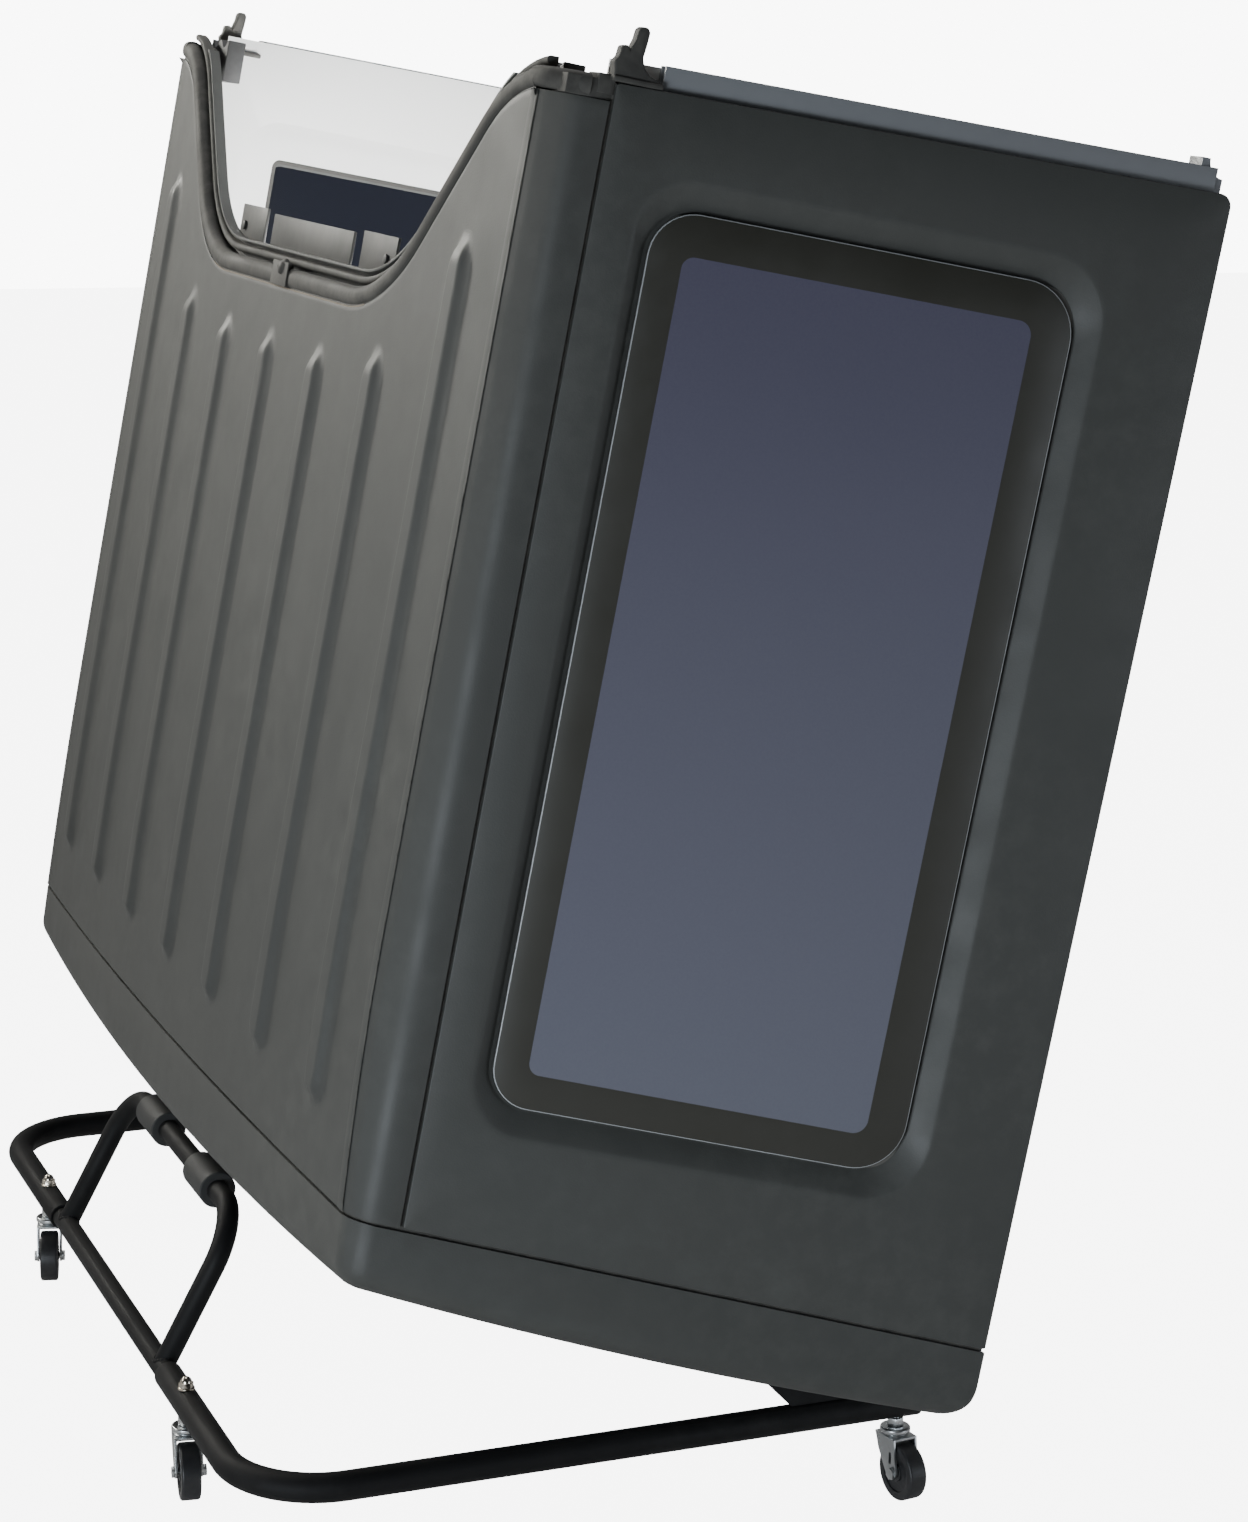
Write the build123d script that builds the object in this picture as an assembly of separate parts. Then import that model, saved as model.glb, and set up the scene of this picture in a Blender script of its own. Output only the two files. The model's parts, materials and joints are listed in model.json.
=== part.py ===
from build123d import *
import math
import os

# Removable vehicle hardtop, stored standing on its rear end on a rolling tube cart.
# All sizes are in millimetres. The model is built in the cart's frame: X = 0 is the
# centre of the cart's cross tube, +X runs along its arms, the floor is Z = 0. At the
# end everything moves together so that the origin is the bottom centre of the whole.

# Hardtop: u = local X (roof towards belt line), v = local Y, w = local Z (rear to front)
lean = 10.49             # tilt of the stored hardtop from upright, degrees
local_x = 63.3           # where the local frame's origin stands in the cart's frame
local_z = 263.2
skin = 5.0               # moulded outer shell
roof_u = -42.0           # roof surface on the centre line
crown_radius = 12500.0   # roof curvature across the hardtop
dip_radius = 6500.0      # the roof curves down towards the rear ...
dip_start = 450.0        # ... from here
shoulder_v = 699.2       # half width where the side plane begins, at u = 0
tumblehome = 9.46        # lean of the side panels, degrees
shoulder_slope = 1.407   # run of the bevel between roof and side, v per u
belt_u = 661.5           # lower edge of the installed hardtop
front_w = 1300.7         # front edge of the side panels at u = 0
front_rake = 0.0204
rear_low_u = 934.0       # centre of the rear face's arc, seen from the side
rear_low_w = -12.0
rear_radius = 5270.0
bow_radius = 11000.0     # rear face curvature across the hardtop
corner_round = 28.0      # outer edge rounding of the shell
belt_corner = 42.0       # rounding of the lower rear corner, seen from the side
belt_corner_w = 24.0
drip_u = 34.7            # seam between roof and side panels
seam_gap = 3.5
seam_w = 166.0           # rear seam on the roof
seam_rake = -0.0923      # and its slope down the side
liner_high = 26.0        # inner wall, below the outer surface
liner_low = 29.0

# Roof opening for the front panels, a trapezoid in the (v, w) plane
opening_w = 1035.0
opening_half = 354.0
shoulder_w = 1283.0
shoulder_half = 602.0
opening_round = 275.0
shoulder_round = 160.0
channel_width = 42.0
channel_high = 22.0
channel_low = 25.0
channel_wall = 3.0
liner_edge = 26.0        # the inner wall stops this far inside the opening's outline

# Roof ribs
rib_pitch = 184.5
rib_width = 58.0
rib_height = 6.0
rib_foot = 242.0
rib_tops = [989.0, 989.0, 1006.0, 1138.0]    # centre rib outwards

# Quarter windows, on the side plane
window_left = 82.0
window_right = 561.0
window_top = 1219.0
window_foot_left = 277.0
window_foot_right = 253.0
window_rounds = [58.0, 62.0, 62.0, 52.0]     # foot left, foot right, top right, top left
pocket_depth = 14.0
pocket_slope = 17.0
glass_gap = 3.0
glass_thick = 5.0
bond_thick = 3.0
ledge = 30.0

# Rear glass, hinged along its roof edge
rear_top_u = 64.0
rear_foot_u = 640.0
rear_half_top = 508.0
rear_half_foot = 566.0
rear_pocket = 12.0
rear_ledge = 28.0
rear_round = 60.0
rear_pane_high = 3.0
rear_pane_low = 8.0
rear_seal_high = 8.4
hinge_u = 54.0
hinge_out = 7.0          # hinge pin centre, outside the rear surface
hinge_v = 330.0
hinge_radius = 6.0
hinge_pin = 3.0

# Cart
tube_z = 105.0
arm_half = 606.4
arm_end = 758.0
outer_tube = 31.75 / 2
outer_wall = 2.6
inner_tube = 25.4 / 2
inner_wall = 2.0
sleeve_half = 265.0
corner_bend = 101.6
hoop_half = 240.0
hoop_lean = 28.0
hoop_rise = 190.0
hoop_bend = 63.0
roller_radius = 21.5
roller_length = 78.0
roller_v = 112.0
rest_gap = 0.4           # between the resting hardtop and the cart's pads and rollers

# Casters
wheel_radius = 31.75
wheel_width = 22.0
trail = 18.0
caster_v = 344.0
caster_end_x = 736.0
axle_radius = 4.0
stem_radius = 5.0
kingpin_radius = 7.0
clearance = 0.05         # radial, on every running fit
crown_z = 70.5
crown_thick = 2.5
fork_inner = 12.9
fork_thick = 2.6
# name, x, side of the cart (y), heading from +Y towards +X in degrees, brake
casters = [
    ("front_right", 0.0, -caster_v, 8.5, False),
    ("front_left", 0.0, caster_v, 15.0, False),
    ("end_right", caster_end_x, -arm_half, -8.0, True),
    ("end_left", caster_end_x, arm_half, 5.0, True),
]

tilt = Pos(local_x, 0, local_z) * Rot(0, lean, 0)
lean_side = math.radians(tumblehome)
nodes = {}
cart_nodes = {}


def other_side(solid):
    """The same solid on the other side of the centre plane."""
    return mirror(solid, about=Plane.XZ)


def prism_u(outline, low=-120.0, high=760.0):
    """A face in the (v, w) plane carried along u."""
    return extrude(Pos(low, 0, 0) * outline, amount=high - low, dir=(1, 0, 0))


def prism_v(points, half=900.0):
    """A (u, w) outline carried across the whole width."""
    face = Plane.XZ * Polygon(*points, align=None)
    return extrude(face, amount=half, both=True)


def prism_w(outline, low, high):
    """A (u, v) outline carried along w."""
    return extrude(Pos(0, 0, low) * outline, amount=high - low, dir=(0, 0, 1))


def block(u, v, w):
    """A box between pairs of limits in u, v and w."""
    size = Box(u[1] - u[0], v[1] - v[0], w[1] - w[0])
    return Pos((u[0] + u[1]) / 2, (v[0] + v[1]) / 2, (w[0] + w[1]) / 2) * size


def largest(shape):
    """The biggest solid of a result, without the crumbs of a cut."""
    return max(shape.solids(), key=lambda s: s.volume)


def group(*shapes):
    """Several separate solids in one node."""
    return Compound([solid for shape in shapes for solid in shape.solids()])


# The hardtop's outer form -----------------------------------------------------------


def roof_block(inset):
    """Everything under the crowned roof surface."""
    u = roof_u + inset
    foot = -80.0
    middle = (dip_start + foot) / 2
    drop = (dip_start - foot) ** 2 / (2 * dip_radius)
    half_drop = (dip_start - middle) ** 2 / (2 * dip_radius)
    with BuildSketch(Plane.XZ) as profile:
        with BuildLine():
            Polyline((u, dip_start), (u, 1420), (820, 1420), (820, foot), (u + drop, foot))
            ThreePointArc((u + drop, foot), (u + half_drop, middle), (u, dip_start))
        make_face()
    axis = Axis((roof_u + crown_radius, 0, 0), (0, 0, 1))
    swept = revolve(profile.sketch, axis=axis, revolution_arc=10)
    return swept.rotate(axis, -5)


def rear_face_w(u, inset=0.0):
    """w of the rear face on the centre line."""
    radius = rear_radius - inset
    return rear_low_w + rear_radius - math.sqrt(radius**2 - (rear_low_u - u) ** 2)


def rear_block(inset):
    """Everything in front of the bowed rear surface."""
    near, middle, far = [(u, rear_face_w(u, inset)) for u in (-100, 360, 820)]
    with BuildSketch(Plane.XZ) as profile:
        with BuildLine():
            Polyline(near, (-100, 1420), (820, 1420), far)
            ThreePointArc(far, middle, near)
        make_face()
    axis = Axis((0, 0, rear_low_w + bow_radius), (1, 0, 0))
    swept = revolve(profile.sketch, axis=axis, revolution_arc=10)
    return swept.rotate(axis, -5)


def side_v(u):
    """Half width of the hardtop's side plane at u."""
    return shoulder_v + u * math.tan(lean_side)


def core(inset, rounded=False):
    """The outer form moved inwards by inset, open towards the belt."""
    top_u = -90.0
    top_v = shoulder_v + top_u * shoulder_slope
    half = [(820, side_v(820)), (0, shoulder_v), (top_u, top_v)]
    section = Polygon(*half, *[(u, -v) for u, v in reversed(half)], align=None)
    if inset:
        section = offset(section, amount=-inset, kind=Kind.INTERSECTION)
    solid = largest(prism_w(section, -80, 1400) & roof_block(inset) & rear_block(inset))
    if rounded:
        boxes = [(edge, edge.bounding_box()) for edge in solid.edges()]
        edges = [edge for edge, box in boxes
                 if box.size.Z > 200 and box.max.X < 60 or box.max.Z < 130 and box.min.X < 100]
        solid = largest(fillet(edges, corner_round - inset))
    return solid


cores = {0.0: core(0, rounded=True), skin: core(skin, rounded=True)}


def at_depth(inset):
    """The outer form at a depth, made once."""
    if inset not in cores:
        cores[inset] = core(inset)
    return cores[inset]


def layer(high, low):
    """The material between two depths below the outer form."""
    return at_depth(high) - at_depth(low)


# Cutting regions in the hardtop's local frame -----------------------------------------


def behind_seam(shift):
    """Everything behind the rear seam, moved along w by shift."""
    line = [(u, seam_w + seam_rake * max(u, 0) + shift) for u in (-100, 0, 800)]
    return prism_v(line + [(800, -200), (-100, -200)])


def behind_front(shift=0.0):
    """Everything behind the raked front edge of the side panels."""
    line = [(u, front_w + u * front_rake + shift) for u in (-100, 800)]
    return prism_v(line + [(800, -200), (-100, -200)])


def between_u(low, high):
    """Everything between two levels of u."""
    return block((low, high), (-900, 900), (-200, 1450))


def roof_opening(shrink):
    """The roof opening drawn in by shrink, as a prism through the roof."""
    low = opening_w + shrink
    top = shoulder_w + shrink
    slip = shrink * (math.sqrt(2) - 1)
    half = [(900, 1500), (900, top), (shoulder_half - slip, top), (opening_half - slip, low)]
    outline = Polygon(*half, *[(-v, w) for v, w in reversed(half)], align=None)
    feet = outline.vertices().sort_by(Axis.Y)[:2]
    outline = fillet(feet, opening_round - shrink)
    knees = [p for p in outline.vertices() if abs(p.Y - top) < 1 and abs(p.X) < 800]
    outline = fillet(knees, shoulder_round + shrink)
    return prism_u(Plane.YZ * outline)


def opening_ring(wide, narrow):
    """A band that follows the roof opening between two distances from its edge."""
    return roof_opening(wide) - roof_opening(narrow)


def window_outline(shrink):
    """A quarter window's outline on the side plane, drawn in by shrink."""
    corners = [(window_left, window_foot_left), (window_right, window_foot_right),
               (window_right, window_top), (window_left, window_top)]
    outline = Polygon(*corners, align=None)
    for corner, radius in zip(corners, window_rounds):
        nearest = outline.vertices().sort_by_distance(corner)[0]
        outline = fillet(nearest, radius)
    if shrink:
        outline = offset(outline, amount=-shrink)
    return outline


side_plane = Plane(origin=(0, -shoulder_v, 0),
                   x_dir=(math.cos(lean_side), -math.sin(lean_side), 0),
                   z_dir=(-math.sin(lean_side), -math.cos(lean_side), 0))


def window_block(shrink, high, low):
    """A quarter window's outline between two depths below the side surface."""
    return side_plane * extrude(Pos(0, 0, -low) * window_outline(shrink), amount=low - high)


def window_funnel(grow, high, low):
    """The sloping pocket of a quarter window between two depths."""
    mouth = Pos(0, 0, -high) * window_outline(-grow)
    floor = Pos(0, 0, -low) * window_outline(pocket_slope - grow)
    return side_plane * loft([floor.face(), mouth.face()])


def rear_prism(shrink, foot=760.0):
    """The rear glass pocket's outline carried along w, down to a level u = foot."""
    reach = (rear_half_foot - rear_half_top) / (rear_foot_u - rear_top_u)
    top = rear_top_u + shrink
    half_top = rear_half_top - shrink
    half_foot = half_top + reach * (foot - rear_top_u)
    outline = Polygon((top, -half_top), (foot, -half_foot), (foot, half_foot), (top, half_top),
                      align=None)
    corners = outline.vertices().sort_by(Axis.X)[:2]
    return prism_w(fillet(corners, rear_round - shrink), -60, 160)


def belt_corner_cut():
    """What the rounding of the lower rear corner takes away."""
    u = belt_u - belt_corner
    w = belt_corner_w + belt_corner
    whole_corner = block((u, 900), (-950, 950), (-200, w))
    return whole_corner - Pos(u, 0, w) * Rot(90, 0, 0) * Cylinder(belt_corner, 2000)


half_gap = seam_gap / 2
roof_zone = between_u(-150, drip_u - half_gap)
side_zone = between_u(drip_u + half_gap, belt_u)
right_half = block((-300, 900), (-950, 0), (-200, 1500))
panels_zone = behind_front() - behind_seam(half_gap)
shell = layer(0.0, skin)

# Roof panel with its raised ribs --------------------------------------------------------


def rib(index):
    """One raised roof rib: a low rounded band with round tapering ends."""
    top = rib_tops[abs(index)]
    v = index * rib_pitch
    band = SlotOverall(top - rib_foot, rib_width, rotation=90)
    column = prism_u(Plane.YZ * (Pos(v, (top + rib_foot) / 2) * band), -100, 0)
    return largest(column & layer(-rib_height, skin))


roof_panel = largest((shell & roof_zone & panels_zone) - roof_opening(0))
for index in range(-3, 4):
    roof_panel = roof_panel + rib(index)
nodes["roof_panel"] = largest(roof_panel)

# Side panels with their sloping window pockets --------------------------------------------

strip = largest(shell & side_zone & panels_zone & right_half)
tub = window_funnel(skin, 2.0, pocket_depth + skin) & at_depth(0.0)
panel = strip + tub
panel = panel - window_funnel(0, -1.0, pocket_depth)
panel = panel - window_block(pocket_slope + ledge, 0, 60)
nodes["side_panel_right"] = largest(panel)

glass_high = pocket_depth - bond_thick - glass_thick
glass_low = glass_high + glass_thick
pane_edge = pocket_slope + glass_gap
nodes["quarter_glass_right"] = largest(window_block(pane_edge, glass_high, glass_low))
bond = window_block(pane_edge + 5, glass_low, pocket_depth)
bond = bond - window_block(pane_edge + 20, 0, 60)
bond = largest(bond)
nodes["quarter_glass_bonds"] = group(bond, other_side(bond))

# Rear frame with the recess and opening for the rear glass ---------------------------------

frame = largest(shell & behind_seam(-half_gap))
recess = (rear_prism(-skin) & layer(0.0, rear_pocket + skin)) & behind_seam(-half_gap)
frame = ((frame + recess) & between_u(-150, belt_u)) - belt_corner_cut()
frame = frame - (rear_prism(0) - at_depth(rear_pocket))
frame = frame - rear_prism(rear_ledge)
nodes["rear_frame"] = largest(frame)

seal = (rear_prism(6, 630) - rear_prism(22, 800)) & layer(rear_seal_high, rear_pocket)
nodes["rear_glass_seal"] = largest(seal)
nodes["rear_glass"] = largest(rear_prism(4, rear_foot_u) & layer(rear_pane_high, rear_pane_low))

# White inner wall ---------------------------------------------------------------------------

inner_wall_layer = layer(liner_high, liner_low) & behind_front(22)
roof_liner = (inner_wall_layer & between_u(-150, drip_u) & behind_front(-20)) - behind_seam(-60)
roof_liner = roof_liner - roof_opening(liner_edge)
for v in (-244, 244):
    roof_liner = roof_liner - block((-80, 60), (v - 57, v + 57), (1060, 1130))
roof_liner = largest(roof_liner)
nodes["roof_liner"] = roof_liner
side_liner = inner_wall_layer & between_u(drip_u + 1, belt_u - 20) & right_half
side_liner = side_liner - behind_seam(-60)
opening_inside = window_block(pane_edge + 21, 0, 80)
side_liner = largest(side_liner - opening_inside)
nodes["side_liner_right"] = side_liner
bead = window_block(pane_edge + 21.3, pocket_depth + skin, liner_low + 3)
bead = largest(bead - window_block(pane_edge + 26.5, 0, 80))
nodes["window_beads"] = group(bead, other_side(bead))

# Strips behind the seams, bonded to the inside of the panels -----------------------------------

seam_band = behind_seam(16) - behind_seam(-16)
drip_band = between_u(drip_u - 14, drip_u + 14) - behind_seam(10)
cores[skin + 0.1] = core(skin + 0.1, rounded=True)
cores[skin + 3] = core(skin + 3, rounded=True)
belt_end_band = (behind_seam(7) - behind_seam(-7)) & between_u(belt_u - 24, belt_u - 1)
backing = layer(skin + 0.1, skin + 3) & behind_front(-1)
wide_backing = (backing & between_u(-150, belt_u - 20)) & (seam_band + drip_band)
seam_backing = largest(wide_backing + (backing & belt_end_band))
seam_backing = largest(seam_backing - rear_prism(-skin - 1))
nodes["seam_backing"] = seam_backing

# Roof opening: recessed channel, bulb seal, inner bead ------------------------------------------

near_opening = (roof_zone & behind_front(-3)) & block((-300, 900), (-654, 654), (-200, 1500))
floor = opening_ring(0, channel_width) & layer(channel_high, channel_low)
rim = opening_ring(0.2, channel_wall) & layer(1.0, channel_high)
lip = opening_ring(channel_width - channel_wall, channel_width) & layer(12.0, channel_high)
channel = largest((floor + rim + lip) & near_opening)
nodes["opening_channel"] = channel
bulb = opening_ring(channel_wall + 1, channel_wall + 23) & layer(-3.0, channel_high)
bulb = largest(bulb & near_opening)
nodes["opening_seal"] = bulb
inner_bead = opening_ring(channel_wall + 26, channel_wall + 33) & layer(9.0, channel_high)
nodes["opening_inner_bead"] = largest(inner_bead & near_opening)

# A moulded joint in the middle of the bulb seal
joint_low = opening_w + channel_wall
sleeve = block((-80, 60), (-34, 26), (joint_low - 1.5, joint_low + 26))
nodes["seal_joint"] = largest(sleeve & layer(-5.0, -3.0))

# Striker plates that the front roof panels latch under, with their screws
tab_layer = layer(channel_low, channel_low + 3.5)
tab_low = opening_w + channel_width - 14


def striker(low_v, high_v, top):
    """One plate that reaches into the roof opening."""
    return largest(tab_layer & block((-80, 60), (low_v, high_v), (tab_low, top)))


side_striker = striker(-300, -188, 1117)
nodes["striker_plates"] = group(striker(-155, 155, 1113), side_striker, other_side(side_striker))


def roof_surface_u(v, w, depth):
    """u of a point at a depth below the roof."""
    dip = max(dip_start - w, 0) ** 2 / (2 * dip_radius)
    return roof_u + dip + v**2 / (2 * crown_radius) + depth


screw_v = 276.0
screw_w = 1092.0
screw_top = roof_surface_u(screw_v, screw_w, channel_low)
screw = Pos(screw_top - 1.8, -screw_v, screw_w) * Rot(0, 90, 0) * Cylinder(5.5, 3.0)
nodes["striker_screws"] = group(screw, other_side(screw))

# Front corners: moulded seal corner with its fin, header bracket, door weatherstrip ---------------

fin_points = [(33, 1303), (80, 1303), (64, 1311), (53, 1326), (51, 1345), (48, 1357),
              (43, 1357), (41, 1342), (38, 1322)]
fin = extrude(Plane.XZ * Polygon(*fin_points, align=None), amount=14)
fin = Pos(0, -694, 0) * fin
corner = block((31, 82), (-712, -672), (1302.5, 1309)) + fin
corner = corner + block((-26, 32), (-701, -655), (1284, 1309))
corner = corner + block((18, 32), (-700, -664), (1309, 1327))
corner = largest(corner - roof_liner - side_liner - seam_backing)
nodes["seal_corner_right"] = corner

bracket = block((4.5, 28.5), (-640, -560), (1246, 1306))
for v in (-626, -600, -574):
    bracket = bracket + Pos(16.5, v, 1306) * Rot(0, 90, 0) * Cylinder(13, 24)
bracket = largest(bracket - corner)
nodes["header_brackets"] = group(bracket, other_side(bracket))

carrier = layer(10.0, 24.0) & behind_front(24) & between_u(84, belt_u - 16)
carrier = carrier - behind_front(-22)
carrier = carrier - (layer(13.0, 21.0) - behind_front(-19))
foot = block((628, 655), (-793, -768), (1302, 1346))
foot = foot - Pos(655, -780, 1346) * Rot(90, 0, 0) * Cylinder(18, 60)
nodes["door_seal_right"] = largest((carrier & right_half) + foot - side_liner)

# Belt line: steel rails with bolt holes, and the seal under them -----------------------------------

rail_high = belt_u - 13.5
rail_low = belt_u - 7.5
rail_length = behind_front(-30) - behind_seam(8)
rail_strip = layer(skin + 0.1, 50.0) & between_u(rail_high, rail_low) & rail_length & right_half
hole_v = -(side_v(rail_low) - 28)
hole_w = [262.0, 650.0, 1050.0]
hole_radius = 4.5
seal_inner = 18.0        # the seal stays outside the bolts

rail = largest(rail_strip)
for w in hole_w:
    rail = rail - Pos(rail_low, hole_v, w) * Rot(0, 90, 0) * Cylinder(hole_radius, 60)
nodes["belt_rail_right"] = largest(rail)
strip = layer(skin + 1, seal_inner) & between_u(rail_low, belt_u) & rail_length & right_half
strip = largest(strip)
nodes["belt_seals"] = group(strip, other_side(strip))

# Rear glass hinges: fixed knuckles on the frame, moving arms on the glass ------------------------------

pin_w = rear_face_w(hinge_u) + hinge_v**2 / (2 * bow_radius) - hinge_out


def knuckle(low_v, high_v, bore):
    """A hinge barrel about the pin's axis."""
    length = high_v - low_v
    barrel = Cylinder(hinge_radius, length) - Cylinder(bore, length + 2)
    return Pos(hinge_u, (low_v + high_v) / 2, pin_w) * Rot(90, 0, 0) * barrel


def fixed_hinge(v):
    """The hinge half on the rear frame, with its pin."""
    plate = block((18, hinge_u), (v - 24, v + 24), (pin_w - 4, pin_w + 40)) - at_depth(-rest_gap)
    plate = plate - Pos(hinge_u, v, pin_w) * Rot(90, 0, 0) * Cylinder(hinge_radius + 0.4, 26)
    outer_side = block((18, hinge_u - 1), (v - 24, v + 24), (pin_w - 30, pin_w - 4))
    ears = knuckle(v - 24, v - 12.4, hinge_pin) + knuckle(v + 12.4, v + 24, hinge_pin)
    pin = Pos(hinge_u, v, pin_w) * Rot(90, 0, 0) * Cylinder(hinge_pin, 48)
    return (plate - outer_side) + ears + pin


def hinge_arm(v):
    """The hinge half on the rear glass."""
    strap = block((hinge_u, hinge_u + 92), (v - 12, v + 12), (pin_w - 30, pin_w + 40))
    pad = block((hinge_u + 32, hinge_u + 92), (v - 12, v + 12), (pin_w - 30, pin_w + 40))
    strap = (strap & layer(-3.0, -rest_gap)) + (pad & layer(-rest_gap, rear_pane_high))
    barrel = knuckle(v - 12, v + 12, hinge_pin + clearance)
    strap = strap - Pos(hinge_u, v, pin_w) * Rot(90, 0, 0) * Cylinder(hinge_radius - 1, 30)
    return largest(barrel + strap)


nodes["rear_hinge_bases"] = group(*[largest(fixed_hinge(v)) for v in (-hinge_v, hinge_v)])
nodes["rear_hinge_arms"] = group(*[hinge_arm(v) for v in (-hinge_v, hinge_v)])

for name in [n for n in nodes if n.endswith("_right")]:
    nodes[name.replace("_right", "_left")] = other_side(nodes[name])

for name in nodes:
    nodes[name] = tilt * nodes[name]

# Cart frame: telescoping base in three pieces, welded hoop ----------------------------------------------


def tube(path, radius, wall):
    """A round tube along a path."""
    plane = Plane(origin=path @ 0, z_dir=path % 0)
    return sweep(plane * Circle(radius), path=path) - sweep(plane * Circle(radius - wall), path=path)


def stem_hole(x, y):
    """The vertical hole that a caster's stem passes through."""
    return Pos(x, y, tube_z) * Cylinder(stem_radius + 0.3, 60)


centre_path = Line((0, -caster_v - 60, tube_z), (0, caster_v + 60, tube_z))
centre = tube(centre_path, inner_tube, inner_wall)
for y in (-caster_v, caster_v):
    centre = centre - stem_hole(0, y)
cart_nodes["centre_tube"] = largest(centre)

arm_path = FilletPolyline((0, -sleeve_half, tube_z), (0, -arm_half, tube_z),
                          (arm_end, -arm_half, tube_z), radius=corner_bend)
arm = tube(arm_path, outer_tube, outer_wall)
arm = arm - stem_hole(0, -caster_v) - stem_hole(caster_end_x, -arm_half)
cart_nodes["arm_tube_right"] = largest(arm)

cap = Cylinder(outer_tube, 4) + Pos(0, 0, -8) * Cylinder(outer_tube - outer_wall - 0.1, 12)
cap = fillet(cap.edges().sort_by(Axis.Z)[-1], 2.5)
cap = Pos(arm_end + 2, -arm_half, tube_z) * Rot(0, 90, 0) * cap
cart_nodes["end_caps"] = group(cap, other_side(cap))

hoop_tilt = Pos(0, 0, tube_z) * Rot(0, hoop_lean, 0)
hoop_path = FilletPolyline((0, -hoop_half, 0), (0, -hoop_half, hoop_rise), (0, hoop_half, hoop_rise),
                           (0, hoop_half, 0), radius=hoop_bend)
hoop = hoop_tilt * tube(hoop_path, inner_tube, inner_wall)
hoop = hoop - Pos(0, 0, tube_z) * Rot(90, 0, 0) * Cylinder(inner_tube, 700)
cart_nodes["hoop"] = largest(hoop)

roller_centre = (hoop_tilt * Pos(0, 0, hoop_rise)).position
for name, v in (("roller_right", -roller_v), ("roller_left", roller_v)):
    sleeve = Cylinder(roller_radius, roller_length)
    sleeve = fillet(sleeve.edges().filter_by(GeomType.CIRCLE), 2)
    sleeve = sleeve - Cylinder(inner_tube + clearance, roller_length + 2)
    place = Pos(roller_centre.X, v, roller_centre.Z) * Rot(90, 0, 0)
    cart_nodes[name] = largest(place * sleeve)

# Arm brackets that carry the hardtop's lower rear edge, with rubber pads ----------------------------------

clear_form = tilt * at_depth(-rest_gap)
pad_form = tilt * at_depth(-rest_gap - 6)
plate_points = [(612, tube_z + 10), (524, 206), (690, 206), (722, 180), (722, tube_z + 10)]
plate = extrude(Plane.XZ * Polygon(*plate_points, align=None), amount=3, both=True)
plate = Pos(0, -arm_half, 0) * plate - pad_form
arm_solid = Pos(arm_end / 2, -arm_half, tube_z) * Rot(0, 90, 0) * Cylinder(outer_tube, arm_end + 20)
plate = plate - arm_solid
window = Pos(672, -arm_half, tube_z + 26) * Rot(90, 0, 0) * Cylinder(5, 20)
cart_nodes["bracket_right"] = largest(plate - window)
pad = Pos(614, -arm_half, 160) * Box(150, 30, 130)
pad = pad & (pad_form - clear_form)
pad = largest(pad)
cart_nodes["bracket_pads"] = group(pad, other_side(pad))

for name in [n for n in cart_nodes if n.endswith("_right") and "roller" not in n]:
    cart_nodes[name.replace("_right", "_left")] = other_side(cart_nodes[name])

# Casters ---------------------------------------------------------------------------------------------------


def acorn_nut(z):
    """A domed cap nut with its washer, standing on z."""
    washer = Pos(0, 0, z + 0.8) * Cylinder(9.5, 1.6)
    flats = Pos(0, 0, z + 1.6) * extrude(RegularPolygon(8.2, 6), amount=6)
    dome = Pos(0, 0, z + 7.5) * Sphere(6.6, arc_size1=0, align=(Align.CENTER, Align.CENTER, Align.MIN))
    return washer + flats + dome - Pos(0, 0, z + 3) * Cylinder(stem_radius + 0.02, 14)


def stem(top):
    """The caster's threaded stem with its kingpin head and the nut under the tube."""
    low = tube_z - outer_tube
    rod = Pos(0, 0, (low + top) / 2) * Cylinder(stem_radius, top - low)
    nut = Pos(0, 0, 79.4) * extrude(RegularPolygon(9.6, 6), amount=low - 79.4)
    pin = Pos(0, 0, 73) * Cylinder(kingpin_radius, 14)
    head = Pos(0, 0, crown_z - crown_thick - 0.4 - 1) * Cylinder(10, 2)
    return rod + nut + pin + head


def fork():
    """The pressed fork: crown, two legs with slots, bore for the kingpin."""
    outer_half = fork_inner + fork_thick
    crown = Pos(0, -2, crown_z - crown_thick / 2) * Box(2 * outer_half, 36, crown_thick)
    raised = Pos(0, 0, crown_z) * Cone(15.5, 14.5, 1.6, align=(Align.CENTER, Align.CENTER, Align.MIN))
    leg_points = [(-20, crown_z), (16, crown_z), (9, 52), (-9, wheel_radius - 6),
                  (-trail, wheel_radius - 9), (-27, wheel_radius), (-22, 52)]
    profile = Polygon(*leg_points, align=None)
    low = [p for p in profile.vertices() if p.Y < 60]
    profile = fillet(low, 6)
    leg = extrude(Plane.YZ * profile, amount=fork_thick, dir=(1, 0, 0))
    slot = Pos(0, -14, 48) * Rot(0, 90, 0) * extrude(SlotOverall(14, 4.5), amount=80, both=True)
    right = Pos(fork_inner, 0, 0) * leg
    left = Pos(-outer_half, 0, 0) * leg
    axle_hole = Pos(0, -trail, wheel_radius) * Rot(0, 90, 0) * Cylinder(axle_radius, 80)
    body = crown + raised + right + left - slot - axle_hole
    return body - Pos(0, 0, crown_z) * Cylinder(kingpin_radius + clearance, 12)


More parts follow.
